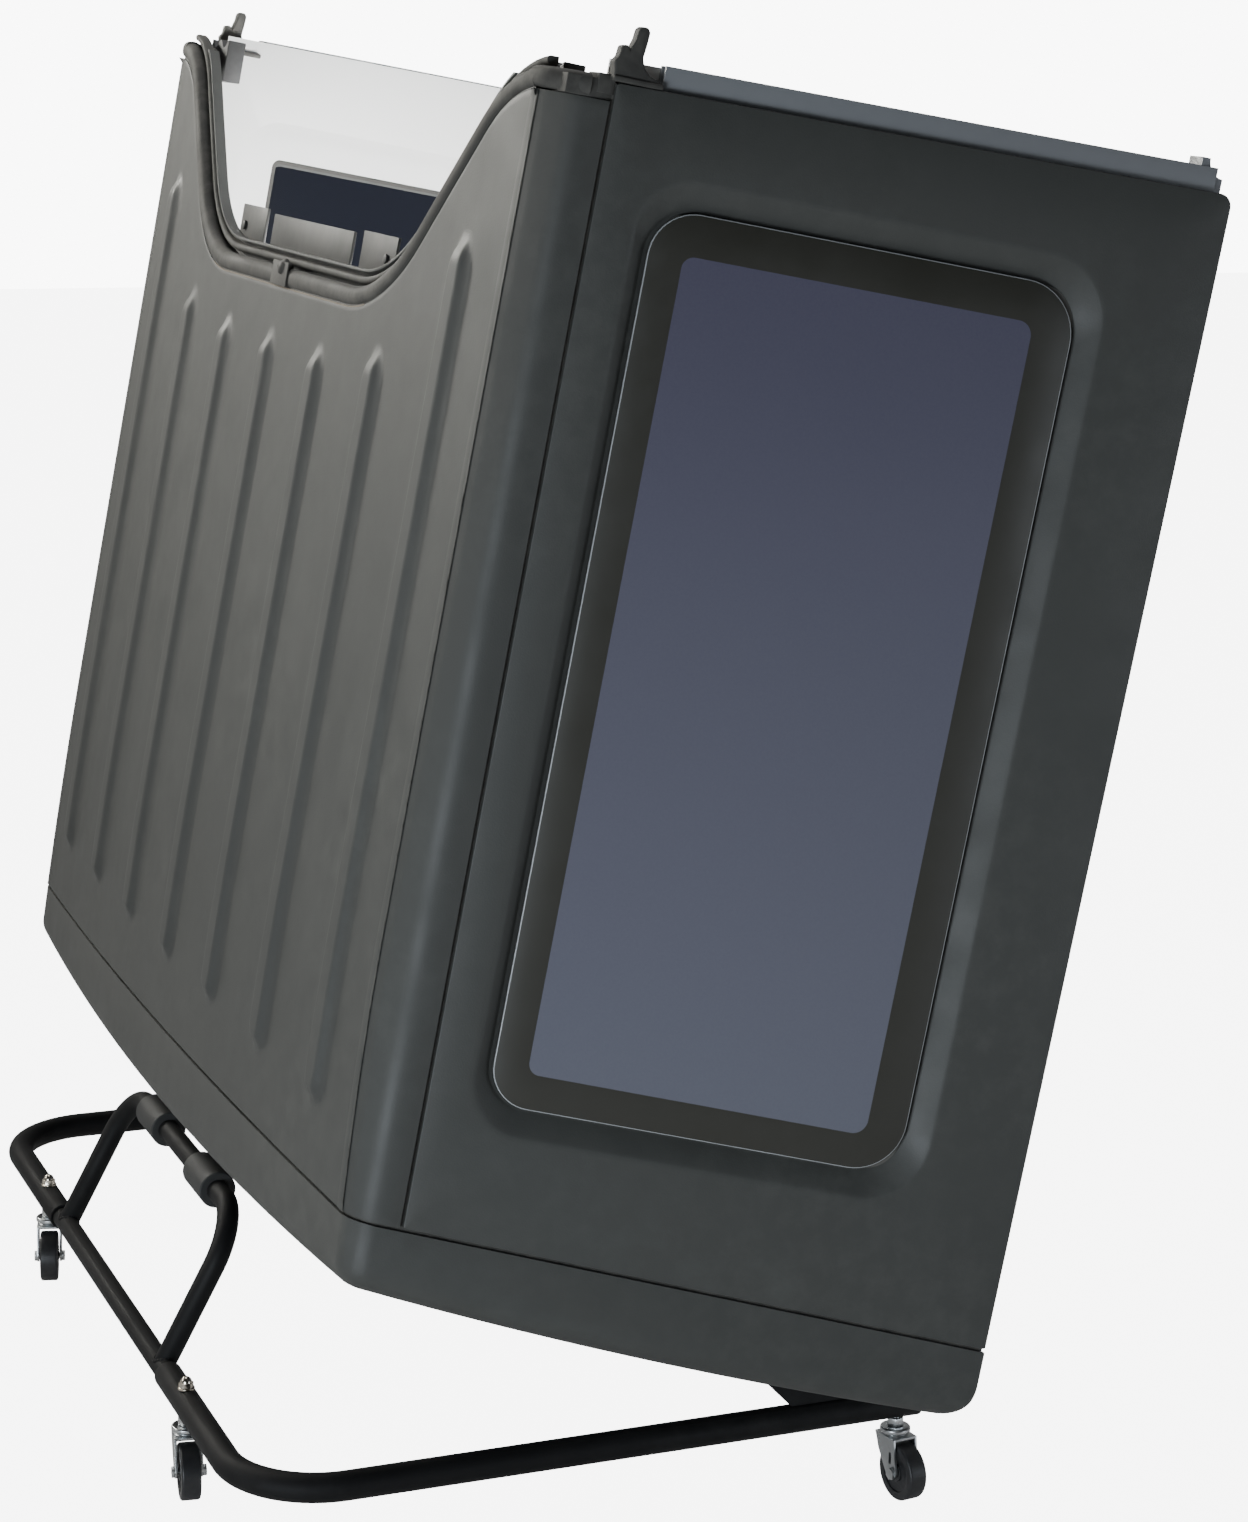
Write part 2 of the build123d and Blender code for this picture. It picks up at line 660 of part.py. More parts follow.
def axle(with_lever):
    """The axle bolt, its head and its nut."""
    outer_half = fork_inner + fork_thick
    far = outer_half + (3.0 if with_lever else 0.0)
    rod = Pos((far - outer_half) / 2, 0, 0) * Rot(0, 90, 0) * Cylinder(axle_radius, far + outer_half)
    head = Pos(-outer_half, 0, 0) * Rot(0, -90, 0) * extrude(RegularPolygon(7, 6), amount=3.4)
    nut = Pos(far, 0, 0) * Rot(0, 90, 0) * extrude(RegularPolygon(7, 6), amount=4)
    return Pos(0, -trail, wheel_radius) * (rod + head + nut)


def wheel():
    """The solid hard wheel with dished faces."""
    blank = Rot(0, 90, 0) * Cylinder(wheel_radius, wheel_width)
    blank = fillet(blank.edges().filter_by(GeomType.CIRCLE), 3)
    half = wheel_width / 2
    ring = Rot(0, 90, 0) * (Cylinder(22, 5) - Cylinder(10, 6))
    blank = blank - Pos(half, 0, 0) * ring - Pos(-half, 0, 0) * ring
    blank = blank - Rot(0, 90, 0) * Cylinder(axle_radius + clearance, 60)
    return Pos(0, -trail, wheel_radius) * blank


def brake_lever():
    """The foot lever beside the wheel, turning on the axle, with its bent tread tab."""
    face = fork_inner + fork_thick + 0.4
    arm_face = Polygon((-9, -9), (9, -9), (32, 6), (36, 12), (30, 16), (6, 10), (-9, 8), align=None)
    side = extrude(Plane.YZ * arm_face, amount=2.2, dir=(1, 0, 0))
    tab = Pos(4, 33, 12) * Rot(28, 0, 0) * Box(12, 3, 13)
    bore = Rot(0, 90, 0) * Cylinder(axle_radius + clearance, 40)
    return Pos(face, -trail, wheel_radius) * (side + tab - bore)


stems = []
races = []
nuts = []
for name, x, y, heading, brake in casters:
    place = Pos(x, y, 0) * Rot(0, 0, -heading)
    top = tube_z + outer_tube + 9.6
    stems.append(place * stem(top))
    race = Pos(0, 0, 75.7) * (Cylinder(17, 6.6) - Cylinder(kingpin_radius, 8))
    race = fillet(race.edges().filter_by(GeomType.CIRCLE).group_by(SortBy.RADIUS)[-1], 2.4)
    races.append(place * (race - Pos(0, 0, crown_z) * Cone(16.5, 15.5, 2.4)))
    nuts.append(place * acorn_nut(tube_z + outer_tube))
    cart_nodes["fork_" + name] = largest(place * fork())
    cart_nodes["axle_" + name] = largest(place * axle(brake))
    cart_nodes["wheel_" + name] = largest(place * wheel())
    if brake:
        cart_nodes["brake_lever_" + name] = largest(place * brake_lever())
    centre_point = (place * Pos(0, -trail, wheel_radius)).position
    print("caster", name, x, y, heading, centre_point.X, centre_point.Y, centre_point.Z)
cart_nodes["caster_stems"] = group(*stems)
cart_nodes["swivel_races"] = group(*races)
cart_nodes["cap_nuts"] = group(*nuts)
nodes.update(cart_nodes)

# Origin: the bottom centre of everything -------------------------------------------------------------------

boxes = [solid.bounding_box() for solid in nodes.values()]
low_x = min(box.min.X for box in boxes)
high_x = max(box.max.X for box in boxes)
low_z = min(box.min.Z for box in boxes)
shift = Pos(-(low_x + high_x) / 2, 0, -low_z)
print("shift", shift.position)
hinge_point = (tilt * Pos(hinge_u, 0, pin_w)).position
print("rear hinge", hinge_point)
print("roller", roller_centre)
for w in hole_w:
    print("belt hole", (tilt * Pos((rail_high + rail_low) / 2, hole_v, w)).position)

os.makedirs("parts", exist_ok=True)
for name, solid in nodes.items():
    export_step(shift * solid, f"parts/{name}.step")
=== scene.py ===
import json
import math

import bmesh
import bpy
from mathutils import Matrix, Vector


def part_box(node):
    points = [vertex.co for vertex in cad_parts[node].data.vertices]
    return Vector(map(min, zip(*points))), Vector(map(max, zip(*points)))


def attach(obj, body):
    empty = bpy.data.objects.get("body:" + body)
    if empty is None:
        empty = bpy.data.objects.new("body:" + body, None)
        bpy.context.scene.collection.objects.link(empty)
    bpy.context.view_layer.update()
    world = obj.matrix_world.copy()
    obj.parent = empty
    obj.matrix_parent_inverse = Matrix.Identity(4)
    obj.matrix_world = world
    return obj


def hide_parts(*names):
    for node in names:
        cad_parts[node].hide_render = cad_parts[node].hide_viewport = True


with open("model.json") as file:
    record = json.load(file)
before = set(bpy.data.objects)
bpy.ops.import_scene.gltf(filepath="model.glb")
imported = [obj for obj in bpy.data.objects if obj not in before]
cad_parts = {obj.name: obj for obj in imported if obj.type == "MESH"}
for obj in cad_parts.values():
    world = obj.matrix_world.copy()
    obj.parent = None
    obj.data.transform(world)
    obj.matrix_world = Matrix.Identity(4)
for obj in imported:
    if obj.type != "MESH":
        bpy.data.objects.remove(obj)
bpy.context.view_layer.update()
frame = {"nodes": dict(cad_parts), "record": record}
mm = 0.001

# ---------------------------------------------------------------------------------------
# Camera: at the eye height of a standing person, about level with the hardtop's top,
# looking a little down at the roof and the right-hand side with a long lens.
eye = bpy.data.cameras.new("eye")
camera = bpy.data.objects.new("camera", eye)
bpy.context.collection.objects.link(camera)
eye.sensor_fit = "VERTICAL"
eye.sensor_height = 36.0
eye.lens = 79.617
eye.clip_start = 0.05
camera_turn = math.radians(-22.144)
camera_pitch = math.radians(-12.675)
camera_roll = math.radians(1.103)
camera_place = (-1.33059, -3.70928, 1.60882)
ahead = Vector((-math.sin(camera_turn) * math.cos(camera_pitch),
                math.cos(camera_turn) * math.cos(camera_pitch), math.sin(camera_pitch)))
level_right = ahead.cross(Vector((0, 0, 1))).normalized()
level_up = level_right.cross(ahead)
right = level_right * math.cos(camera_roll) + level_up * math.sin(camera_roll)
up = level_up * math.cos(camera_roll) - level_right * math.sin(camera_roll)
aim = Matrix((right, up, -ahead)).transposed().to_4x4()
camera.matrix_world = Matrix.Translation(camera_place) @ aim
bpy.context.scene.camera = camera

# ---------------------------------------------------------------------------------------
# Studio: a pale floor and back wall that glow for the camera only, and six soft lamps.
# Two warm ones stand on the roof's side, two cool ones low on the near side, one hangs
# overhead, and one inside the hardtop lights its white wall.
bpy.ops.object.select_all(action="DESELECT")
bpy.ops.mesh.primitive_plane_add(size=30, location=(0, 0, 0))
floor = bpy.context.object
floor.name = "studio_floor"
floor_paint = bpy.data.materials.new("studio_floor")
floor_paint.use_nodes = True
floor_tree = floor_paint.node_tree
floor_shader = floor_tree.nodes["Principled BSDF"]
floor_shader.inputs["Base Color"].default_value = (0.5, 0.5, 0.5, 1)
floor_shader.inputs["Roughness"].default_value = 0.9
floor_shader.inputs["Emission Color"].default_value = (1, 1, 1, 1)
floor_seen = floor_tree.nodes.new("ShaderNodeLightPath").outputs["Is Camera Ray"]
floor_glow = floor_tree.nodes.new("ShaderNodeMapRange")
floor_glow.inputs["To Min"].default_value = 0.17
floor_glow.inputs["To Max"].default_value = 7.0
floor_tree.links.new(floor_seen, floor_glow.inputs["Value"])
floor_tree.links.new(floor_glow.outputs["Result"], floor_shader.inputs["Emission Strength"])
floor.data.materials.append(floor_paint)

world = bpy.data.worlds.new("studio")
bpy.context.scene.world = world
world.use_nodes = True
sky = world.node_tree
sky_way = sky.nodes.new("ShaderNodeTexCoord").outputs["Generated"]
sky_split = sky.nodes.new("ShaderNodeSeparateXYZ")
sky.links.new(sky_way, sky_split.inputs[0])
sky_side = sky.nodes.new("ShaderNodeMapRange")
sky_side.inputs["From Min"].default_value = -0.35
sky_side.inputs["From Max"].default_value = 0.6
sky_side.inputs["To Min"].default_value = 0.02
sky_side.inputs["To Max"].default_value = 0.24
sky.links.new(sky_split.outputs["Y"], sky_side.inputs["Value"])
sky_seen = sky.nodes.new("ShaderNodeLightPath").outputs["Is Camera Ray"]
sky_strength = sky.nodes.new("ShaderNodeMix")
sky.links.new(sky_seen, sky_strength.inputs["Factor"])
sky.links.new(sky_side.outputs["Result"], sky_strength.inputs["A"])
sky_strength.inputs["B"].default_value = 9.0
sky.nodes["Background"].inputs["Color"].default_value = (1.0, 1.0, 1.0, 1)
sky.links.new(sky_strength.outputs["Result"], sky.nodes["Background"].inputs["Strength"])


def lamp(name, place, target, size, watts, tint=(1, 1, 1), spread=180):
    """A square soft box that faces a target; a small spread keeps its light together."""
    light = bpy.data.lights.new(name, "AREA")
    light.size = size
    light.energy = watts
    light.color = tint
    light.spread = math.radians(spread)
    holder = bpy.data.objects.new(name, light)
    bpy.context.collection.objects.link(holder)
    holder.visible_camera = False
    look = Vector(target) - Vector(place)
    facing = look.to_track_quat("-Z", "Y").to_matrix().to_4x4()
    holder.matrix_world = Matrix.Translation(place) @ facing


lamp("behind_roof", (-2.1, 3.5, 2.9), (-0.25, 0.0, 1.5), 1.0, 17, (1.0, 0.98, 0.90), spread=60)
lamp("roof_side", (-4.6, 1.4, 2.8), (0, 0, 1.5), 1.8, 11, (1.0, 0.99, 0.95), spread=60)
lamp("near_side", (-2.6, -2.9, 0.15), (0.1, -0.75, 0.4), 1.5, 35, (0.84, 0.92, 1.0), spread=95)
lamp("far_right", (3.1, -3.9, 0.3), (0.2, -0.6, 0.25), 2.0, 12, (0.84, 0.91, 1.0), spread=100)
lamp("overhead", (0.4, 1.2, 4.6), (0, 0, 0.8), 2.6, 60)
lamp("into_cavity", (0.30, -0.36, 0.95), (0.1, 0.7, 1.35), 0.45, 21, spread=130)

# ---------------------------------------------------------------------------------------
# The hardtop's own axes. It stands on its rear end, so "down" runs from the roof to the
# belt line, and "front" from the rear glass to the windscreen.
record = frame["record"]
mounts = {mount["name"]: mount for mount in record["mounts"]}
belt = mounts["belt_face_right"]
down = Vector(belt["axis"])
front = Vector((-down.z, 0, down.x))
belt_u = 661.5 * mm
belt_point_w = 800 * mm
belt_point = Vector((belt["pos_m"][0], 0, belt["pos_m"][2]))
hardtop_zero = belt_point - down * belt_u - front * belt_point_w


def spot(u, v, w):
    """A point given down from the roof, across, and forward from the rear."""
    return hardtop_zero + down * u + Vector((0, v, 0)) + front * w


# ---------------------------------------------------------------------------------------
# Finishes of the mouldings, rubber and metal: a fine grain, a slow change of tone from weather and
# dust, and sharp convex edges painted paler, partly as wear and partly as a painted edge highlight.
# Glass has a finish of its own below.
def new_group(name, inputs, outputs):
    """An empty node group with float or colour sockets."""
    group = bpy.data.node_groups.new(name, "ShaderNodeTree")
    for title, kind, value in inputs:
        socket = group.interface.new_socket(title, in_out="INPUT", socket_type=kind)
        socket.default_value = value
    for title, kind in outputs:
        group.interface.new_socket(title, in_out="OUTPUT", socket_type=kind)
    entry = group.nodes.new("NodeGroupInput")
    leave = group.nodes.new("NodeGroupOutput")
    return group, entry, leave


def noise(tree, scale, detail, rough=0.5):
    """A noise texture on the piece's own coordinates."""
    where = tree.nodes.new("ShaderNodeTexCoord").outputs["Object"]
    texture = tree.nodes.new("ShaderNodeTexNoise")
    texture.inputs["Scale"].default_value = scale
    texture.inputs["Detail"].default_value = detail
    texture.inputs["Roughness"].default_value = rough
    tree.links.new(where, texture.inputs["Vector"])
    return texture.outputs["Fac"]


def ranged(tree, value, from_low, from_high, to_low, to_high):
    """A value carried from one range to another, clamped."""
    node = tree.nodes.new("ShaderNodeMapRange")
    for title, number in (("From Min", from_low), ("From Max", from_high),
                          ("To Min", to_low), ("To Max", to_high)):
        node.inputs[title].default_value = number
    tree.links.new(value, node.inputs["Value"])
    return node.outputs["Result"]


def mixed(tree, amount, first, second):
    """Two colours mixed by an amount; each is a socket or a plain colour."""
    node = tree.nodes.new("ShaderNodeMix")
    node.data_type = "RGBA"
    for title, value in (("Factor", amount), ("A", first), ("B", second)):
        socket = node.inputs[title]
        if isinstance(value, (tuple, list, float, int)):
            socket.default_value = value
        else:
            tree.links.new(value, socket)
    return node.outputs["Result"]


def summed(tree, first, second, how="ADD"):
    """Two values added, multiplied or otherwise joined."""
    node = tree.nodes.new("ShaderNodeMath")
    node.operation = how
    for socket, value in ((node.inputs[0], first), (node.inputs[1], second)):
        if isinstance(value, (float, int)):
            socket.default_value = value
        else:
            tree.links.new(value, socket)
    return node.outputs[0]


weather, weather_in, weather_out = new_group(
    "weathered_and_edge_lit_surface",
    [("Base", "NodeSocketColor", (0.1, 0.1, 0.1, 1)),
     ("Dusty", "NodeSocketColor", (0.2, 0.2, 0.2, 1)),
     ("Dust", "NodeSocketFloat", 0.3), ("Wear and edge highlight", "NodeSocketFloat", 0.3),
     ("Roughness", "NodeSocketFloat", 0.5)],
    [("Color", "NodeSocketColor"), ("Roughness", "NodeSocketFloat")])
broad = ranged(weather, noise(weather, 3.2, 4), 0.35, 0.7, 0.0, 1.0)
blotch = ranged(weather, noise(weather, 38, 5, 0.65), 0.42, 0.72, 0.0, 1.0)
dust = summed(weather, broad, blotch, "MULTIPLY")
dust = summed(weather, dust, weather_in.outputs["Dust"], "MULTIPLY")
shape = weather.nodes.new("ShaderNodeNewGeometry")
# Wear and painted highlight: sharp convex edges, found by pointiness, turn towards the paler dusty
# tone.
edge_wear_and_highlight = ranged(weather, shape.outputs["Pointiness"], 0.52, 0.62, 0.0, 1.0)
scuff_and_edge_highlight = ranged(weather, noise(weather, 60, 4), 0.35, 0.6, 0.4, 1.0)
scuff_and_edge_highlight = summed(weather, edge_wear_and_highlight, scuff_and_edge_highlight, "MULTIPLY")
scuff_and_edge_highlight = summed(weather, scuff_and_edge_highlight, weather_in.outputs["Wear and edge highlight"], "MULTIPLY")
toned = mixed(weather, dust, weather_in.outputs["Base"], weather_in.outputs["Dusty"])
toned = mixed(weather, scuff_and_edge_highlight, toned, weather_in.outputs["Dusty"])
weather.links.new(toned, weather_out.inputs["Color"])
uneven = ranged(weather, noise(weather, 14, 4), 0.3, 0.7, -0.07, 0.07)
uneven = summed(weather, uneven, weather_in.outputs["Roughness"])
dulled = summed(weather, dust, 0.15, "MULTIPLY")
weather.links.new(summed(weather, uneven, dulled), weather_out.inputs["Roughness"])

grain, grain_in, grain_out = new_group(
    "moulded_grain",
    [("Scale", "NodeSocketFloat", 600.0), ("Waviness", "NodeSocketFloat", 0.15)],
    [("Height", "NodeSocketFloat")])
grain_where = grain.nodes.new("ShaderNodeTexCoord")
cells = grain.nodes.new("ShaderNodeTexVoronoi")
cells.feature = "SMOOTH_F1"
grain.links.new(grain_where.outputs["Object"], cells.inputs["Vector"])
grain.links.new(grain_in.outputs["Scale"], cells.inputs["Scale"])
swell = summed(grain, noise(grain, 7, 2), grain_in.outputs["Waviness"], "MULTIPLY")
swell = summed(grain, swell, 8.0, "MULTIPLY")
grain.links.new(summed(grain, cells.outputs["Distance"], swell), grain_out.inputs["Height"])
grain_waviness = 0.1
grain_depth = 0.4 * mm


def finish(name, base, dusty, rough, dust, wear_and_edge_highlight, metal=0.0, grain_scale=600.0, bump=0.25):
    """A material with weathering, convex edges painted paler (wear and painted highlight), grain
    and its own gloss.
    """
    material = bpy.data.materials.new(name)
    material.use_nodes = True
    tree = material.node_tree
    shader = tree.nodes["Principled BSDF"]
    shader.inputs["Metallic"].default_value = metal
    tones = tree.nodes.new("ShaderNodeGroup")
    tones.node_tree = weather
    tones.inputs["Base"].default_value = (*base, 1)
    tones.inputs["Dusty"].default_value = (*dusty, 1)
    tones.inputs["Dust"].default_value = dust
    tones.inputs["Wear and edge highlight"].default_value = wear_and_edge_highlight
    tones.inputs["Roughness"].default_value = rough
    tree.links.new(tones.outputs["Color"], shader.inputs["Base Color"])
    tree.links.new(tones.outputs["Roughness"], shader.inputs["Roughness"])
    relief = tree.nodes.new("ShaderNodeGroup")
    relief.node_tree = grain
    relief.inputs["Scale"].default_value = grain_scale
    relief.inputs["Waviness"].default_value = grain_waviness
    bumps = tree.nodes.new("ShaderNodeBump")
    bumps.inputs["Strength"].default_value = bump
    bumps.inputs["Distance"].default_value = grain_depth
    tree.links.new(relief.outputs["Height"], bumps.inputs["Height"])
    tree.links.new(bumps.outputs["Normal"], shader.inputs["Normal"])
    return material


shell = finish("textured_shell", (0.058, 0.060, 0.056), (0.095, 0.098, 0.09), 0.56, 0.5, 0.35)
white_wall = finish("white_liner", (0.88, 0.885, 0.87), (0.78, 0.78, 0.76), 0.5, 0.3, 0.1,
                    bump=0.12)
seal_rubber = finish("seal_rubber", (0.045, 0.044, 0.040), (0.15, 0.145, 0.13), 0.72, 0.9, 0.55,
                     grain_scale=260, bump=0.35)
black_steel = finish("black_steel", (0.009, 0.009, 0.0095), (0.035, 0.035, 0.034), 0.6, 0.4, 0.25,
                     grain_scale=900, bump=0.22)
steel_shader = black_steel.node_tree.nodes["Principled BSDF"]
steel_shader.inputs["Specular IOR Level"].default_value = 0.22
black_plastic = finish("black_plastic", (0.022, 0.022, 0.022), (0.07, 0.07, 0.068), 0.55, 0.5, 0.4)
foam = finish("roller_foam", (0.03, 0.031, 0.031), (0.075, 0.075, 0.07), 0.6, 0.6, 0.4,
              grain_scale=1400, bump=0.3)
zinc = finish("zinc_steel", (0.60, 0.62, 0.63), (0.42, 0.42, 0.40), 0.28, 0.6, 0.2,
              metal=1.0, grain_scale=700, bump=0.08)
bright_steel = finish("bright_steel", (0.030, 0.031, 0.030), (0.13, 0.125, 0.115), 0.5, 0.35, 0.2,
                      metal=0.2, grain_scale=500, bump=0.1)
nickel = finish("nickel_nut", (0.72, 0.66, 0.56), (0.5, 0.45, 0.38), 0.2, 0.4, 0.2,
                metal=1.0, grain_scale=500, bump=0.05)
carrier = finish("door_seal_carrier", (0.24, 0.25, 0.265), (0.30, 0.31, 0.32), 0.42, 0.25, 0.3,
                 grain_scale=1100, bump=0.05)
nylon = finish("caster_wheel", (0.020, 0.020, 0.022), (0.09, 0.09, 0.085), 0.42, 0.6, 0.5,
               grain_scale=500, bump=0.12)
finishes = {
    "textured_shell": shell, "white_liner": white_wall, "seal_rubber": seal_rubber,
    "black_steel": black_steel, "black_plastic": black_plastic, "roller_foam": foam,
    "zinc_steel": zinc, "bright_steel": bright_steel, "nickel_nut": nickel,
    "caster_wheel": nylon}

# ---------------------------------------------------------------------------------------
# Worked copies: pieces whose shape the frame already gives. Each is welded into one
# skin, and its sharp edges are rounded as on the real moulding or pressing.
slot_of = {entry["node"]: entry["material_slot"] for entry in record["subparts"]}
bodies = record["behaviour"]["bodies"]
body_of = {node: body for body, nodes in bodies.items() for node in nodes}
weld_distance = 0.02 * mm


def worked_copy(node, round_off, material=None):
    """A welded copy of a CAD node, its edges rounded by round_off mm, standing for it."""
    bpy.ops.object.select_all(action="DESELECT")
    piece = bpy.data.objects.new(node + "_piece", frame["nodes"][node].data.copy())
    bpy.context.collection.objects.link(piece)
    bpy.context.view_layer.objects.active = piece
    piece.select_set(True)
    if piece.data.has_custom_normals:
        bpy.ops.mesh.customdata_custom_splitnormals_clear()
    bpy.ops.object.mode_set(mode="EDIT")
    bpy.ops.mesh.select_all(action="SELECT")
    bpy.ops.mesh.remove_doubles(threshold=weld_distance)
    bpy.ops.mesh.dissolve_limited(angle_limit=math.radians(0.4))
    bpy.ops.object.mode_set(mode="OBJECT")
    if round_off:
        rounding = piece.modifiers.new("rounding", "BEVEL")
        rounding.width = round_off * mm
        rounding.segments = 2
        rounding.limit_method = "ANGLE"
        rounding.angle_limit = math.radians(32)
        rounding.use_clamp_overlap = True
        bpy.ops.object.modifier_apply(modifier="rounding")
    bpy.ops.object.shade_smooth_by_angle(angle=math.radians(38))
    piece.data.materials.clear()
    piece.data.materials.append(material or finishes[slot_of[node]])
    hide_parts(node)
    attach(piece, body_of[node])


# ---------------------------------------------------------------------------------------
# Roof panel: one thick moulding of textured polymer, crowned across, folded down along
# both sides, with seven raised stiffening ribs and a scooped opening at its front end.
shoulder_v = 699.2 * mm
fold_v = 665.0 * mm
fold_slope = 1.407
roof_top_u = -42.0 * mm
crown_radius = 12.5
dip_radius = 6.5
dip_start = 450.0 * mm
tumblehome = math.radians(9.46)
drip_u = 34.7 * mm
seam_w = 166.0 * mm
seam_rake = -0.0923
half_gap = 1.75 * mm
notch_w = 1035.0 * mm
notch_half = 354.0 * mm
notch_round = 275.0 * mm
ledge_w = 1283.0 * mm
ledge_half = 602.0 * mm
ledge_round = 160.0 * mm
slant = math.radians(45)


def roof_u(v, w):
    """How far down the roof's surface lies."""
    return roof_top_u + v * v / (2 * crown_radius) + max(dip_start - w, 0) ** 2 / (2 * dip_radius)


def notch_edge(v):
    """w of the roof opening's outline at v."""
    v = abs(v)
    foot_start = notch_half - notch_round * math.tan(slant / 2)
    knee_end = ledge_half + ledge_round * math.tan(slant / 2)
    if v <= foot_start:
        return notch_w
    if v <= foot_start + notch_round * math.sin(slant):
        return notch_w + notch_round - math.sqrt(notch_round**2 - (v - foot_start) ** 2)
    if v <= knee_end - ledge_round * math.sin(slant):
        return notch_w + v - notch_half
    if v <= knee_end:
        return ledge_w - ledge_round + math.sqrt(ledge_round**2 - (knee_end - v) ** 2)
    return ledge_w


def smooth(t):
    """An eased step from 0 to 1."""
    t = min(max(t, 0.0), 1.0)
    return t * t * (3 - 2 * t)


rib_pitch = 184.5 * mm
rib_half = 29.0 * mm
rib_crest = 12.5 * mm
rib_height = 9.0 * mm
rib_foot_w = 242.0 * mm
rib_top_w = [989.0 * mm, 989.0 * mm, 1006.0 * mm, 1138.0 * mm]
tip_length = 62.0 * mm
foot_length = 46.0 * mm


def rib_rise(v, w):
    """How far a rib stands above the roof at a point."""
    index = round(v / rib_pitch)
    if abs(index) >= len(rib_top_w):
        return 0.0
    aside = abs(v - index * rib_pitch)
    top = rib_top_w[abs(index)]
    ending = min((w - rib_foot_w) / foot_length, (top - w) / tip_length, 1.0)
    if ending <= 0:
        return 0.0
    narrowing = math.sqrt(1 - (1 - ending) ** 2)
    half = rib_half * (0.25 + 0.75 * narrowing)
    crest = rib_crest * narrowing
    flank = min(max((half - aside) / (half - crest), 0.0), 1.0)
    crown = 0.4 * mm * (1 - (min(aside, crest) / rib_crest) ** 2)
    return (rib_height * flank**1.7 + crown * flank) * smooth(ending * 2.0)


last_column_v = fold_v - 13 * mm
last_rib_v = 3.2 * rib_pitch
rib_column_pitch = 2.6 * mm
flat_column_pitch = 11 * mm
roof_columns = [0.0]
while roof_columns[-1] < last_column_v:
    v = roof_columns[-1]
    aside = abs(v / rib_pitch - round(v / rib_pitch)) * rib_pitch
    on_rib = aside < rib_half + 1 * mm and v < last_rib_v
    roof_columns.append(v + (rib_column_pitch if on_rib else flat_column_pitch))
fold_steps = 7
fold_reach = 14 * mm
fold_pull = 12.5 * mm
blend_start_v = 600 * mm
blend_length = 50 * mm


def roof_point(index, w):
    """u, v and the outward normal of one column of the roof's right half at w."""
    dip = max(dip_start - w, 0) ** 2 / (2 * dip_radius)
    fold_here = fold_v + dip / (1 / fold_slope - 2 * fold_v / (2 * crown_radius))
    if index < len(roof_columns):
        v = roof_columns[index]
        v += (fold_here - fold_v) * smooth((v - blend_start_v) / blend_length)
        slope = v / crown_radius
        length = math.hypot(1, slope)
        return roof_u(v, w), v, -1 / length, slope / length
    corner_index, step = divmod(index - len(roof_columns), fold_steps)
    start = (roof_u(fold_here - fold_reach, w), fold_here - fold_reach)
    fold = (roof_u(fold_here, w), fold_here)
    shoulder = (0.0, shoulder_v)
    end_u = drip_u - half_gap
    end = (end_u, shoulder_v + end_u * math.tan(tumblehome))
    if corner_index == 2:
        run = (end[0] - shoulder[0], end[1] - shoulder[1])
        length = math.hypot(*run)
        return end[0], end[1], -run[1] / length, run[0] / length
    before, corner, after = ((start, fold, shoulder), (fold, shoulder, end))[corner_index]
    before_length = math.dist(before, corner)
    after_length = math.dist(corner, after)
    pull = min(fold_pull, 0.46 * after_length)
    first = [corner[i] + (before[i] - corner[i]) / before_length * pull for i in (0, 1)]
    last = [corner[i] + (after[i] - corner[i]) / after_length * pull for i in (0, 1)]
    t = step / (fold_steps - 1)
    here = [first[i] * (1 - t) ** 2 + 2 * corner[i] * t * (1 - t) + last[i] * t * t
            for i in (0, 1)]
    run = [2 * (1 - t) * (corner[i] - first[i]) + 2 * t * (last[i] - corner[i]) for i in (0, 1)]
    length = math.hypot(*run)
    return here[0], here[1], -run[1] / length, run[0] / length


roof_thickness = 5 * mm
rows = 158
half_columns = len(roof_columns) - 1 + 2 * fold_steps + 1
columns = 2 * half_columns + 1
bpy.ops.object.select_all(action="DESELECT")
bpy.ops.mesh.primitive_grid_add(x_subdivisions=columns - 1, y_subdivisions=rows - 1, size=1)
roof = bpy.context.object
roof.name = "roof_panel_piece"
grid = sorted(roof.data.vertices, key=lambda vertex: (round(vertex.co.y, 5), round(vertex.co.x, 5)))
for column in range(columns):
    index = abs(column - half_columns)
    hand = -1 if column < half_columns else 1
    rest_u, rest_v = roof_point(index, dip_start)[:2]
    low = seam_w + seam_rake * max(rest_u, 0) + half_gap
    high = notch_edge(rest_v)
    for row in range(rows):
        w = low + (high - low) * row / (rows - 1)
        u, v, out_u, out_v = roof_point(index, w)
        rise = rib_rise(v, w)
        grid[row * columns + column].co = spot(u + out_u * rise, hand * (v + out_v * rise), w)
bpy.ops.object.mode_set(mode="EDIT")
bpy.ops.mesh.select_all(action="SELECT")
bpy.ops.mesh.normals_make_consistent(inside=False)
bpy.ops.object.mode_set(mode="OBJECT")
face = max(roof.data.polygons, key=lambda polygon: polygon.area)
if face.normal.dot(down) > 0:
    roof.data.flip_normals()
thickness = roof.modifiers.new("thickness", "SOLIDIFY")
thickness.thickness = roof_thickness
thickness.offset = -1
bpy.ops.object.modifier_apply(modifier="thickness")
rounding = roof.modifiers.new("rounding", "BEVEL")
rounding.width = 1.3 * mm
rounding.segments = 2
rounding.angle_limit = math.radians(55)
bpy.ops.object.modifier_apply(modifier="rounding")
bpy.ops.object.shade_smooth_by_angle(angle=math.radians(50))
roof.data.materials.append(shell)
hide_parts("roof_panel")
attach(roof, "hardtop")

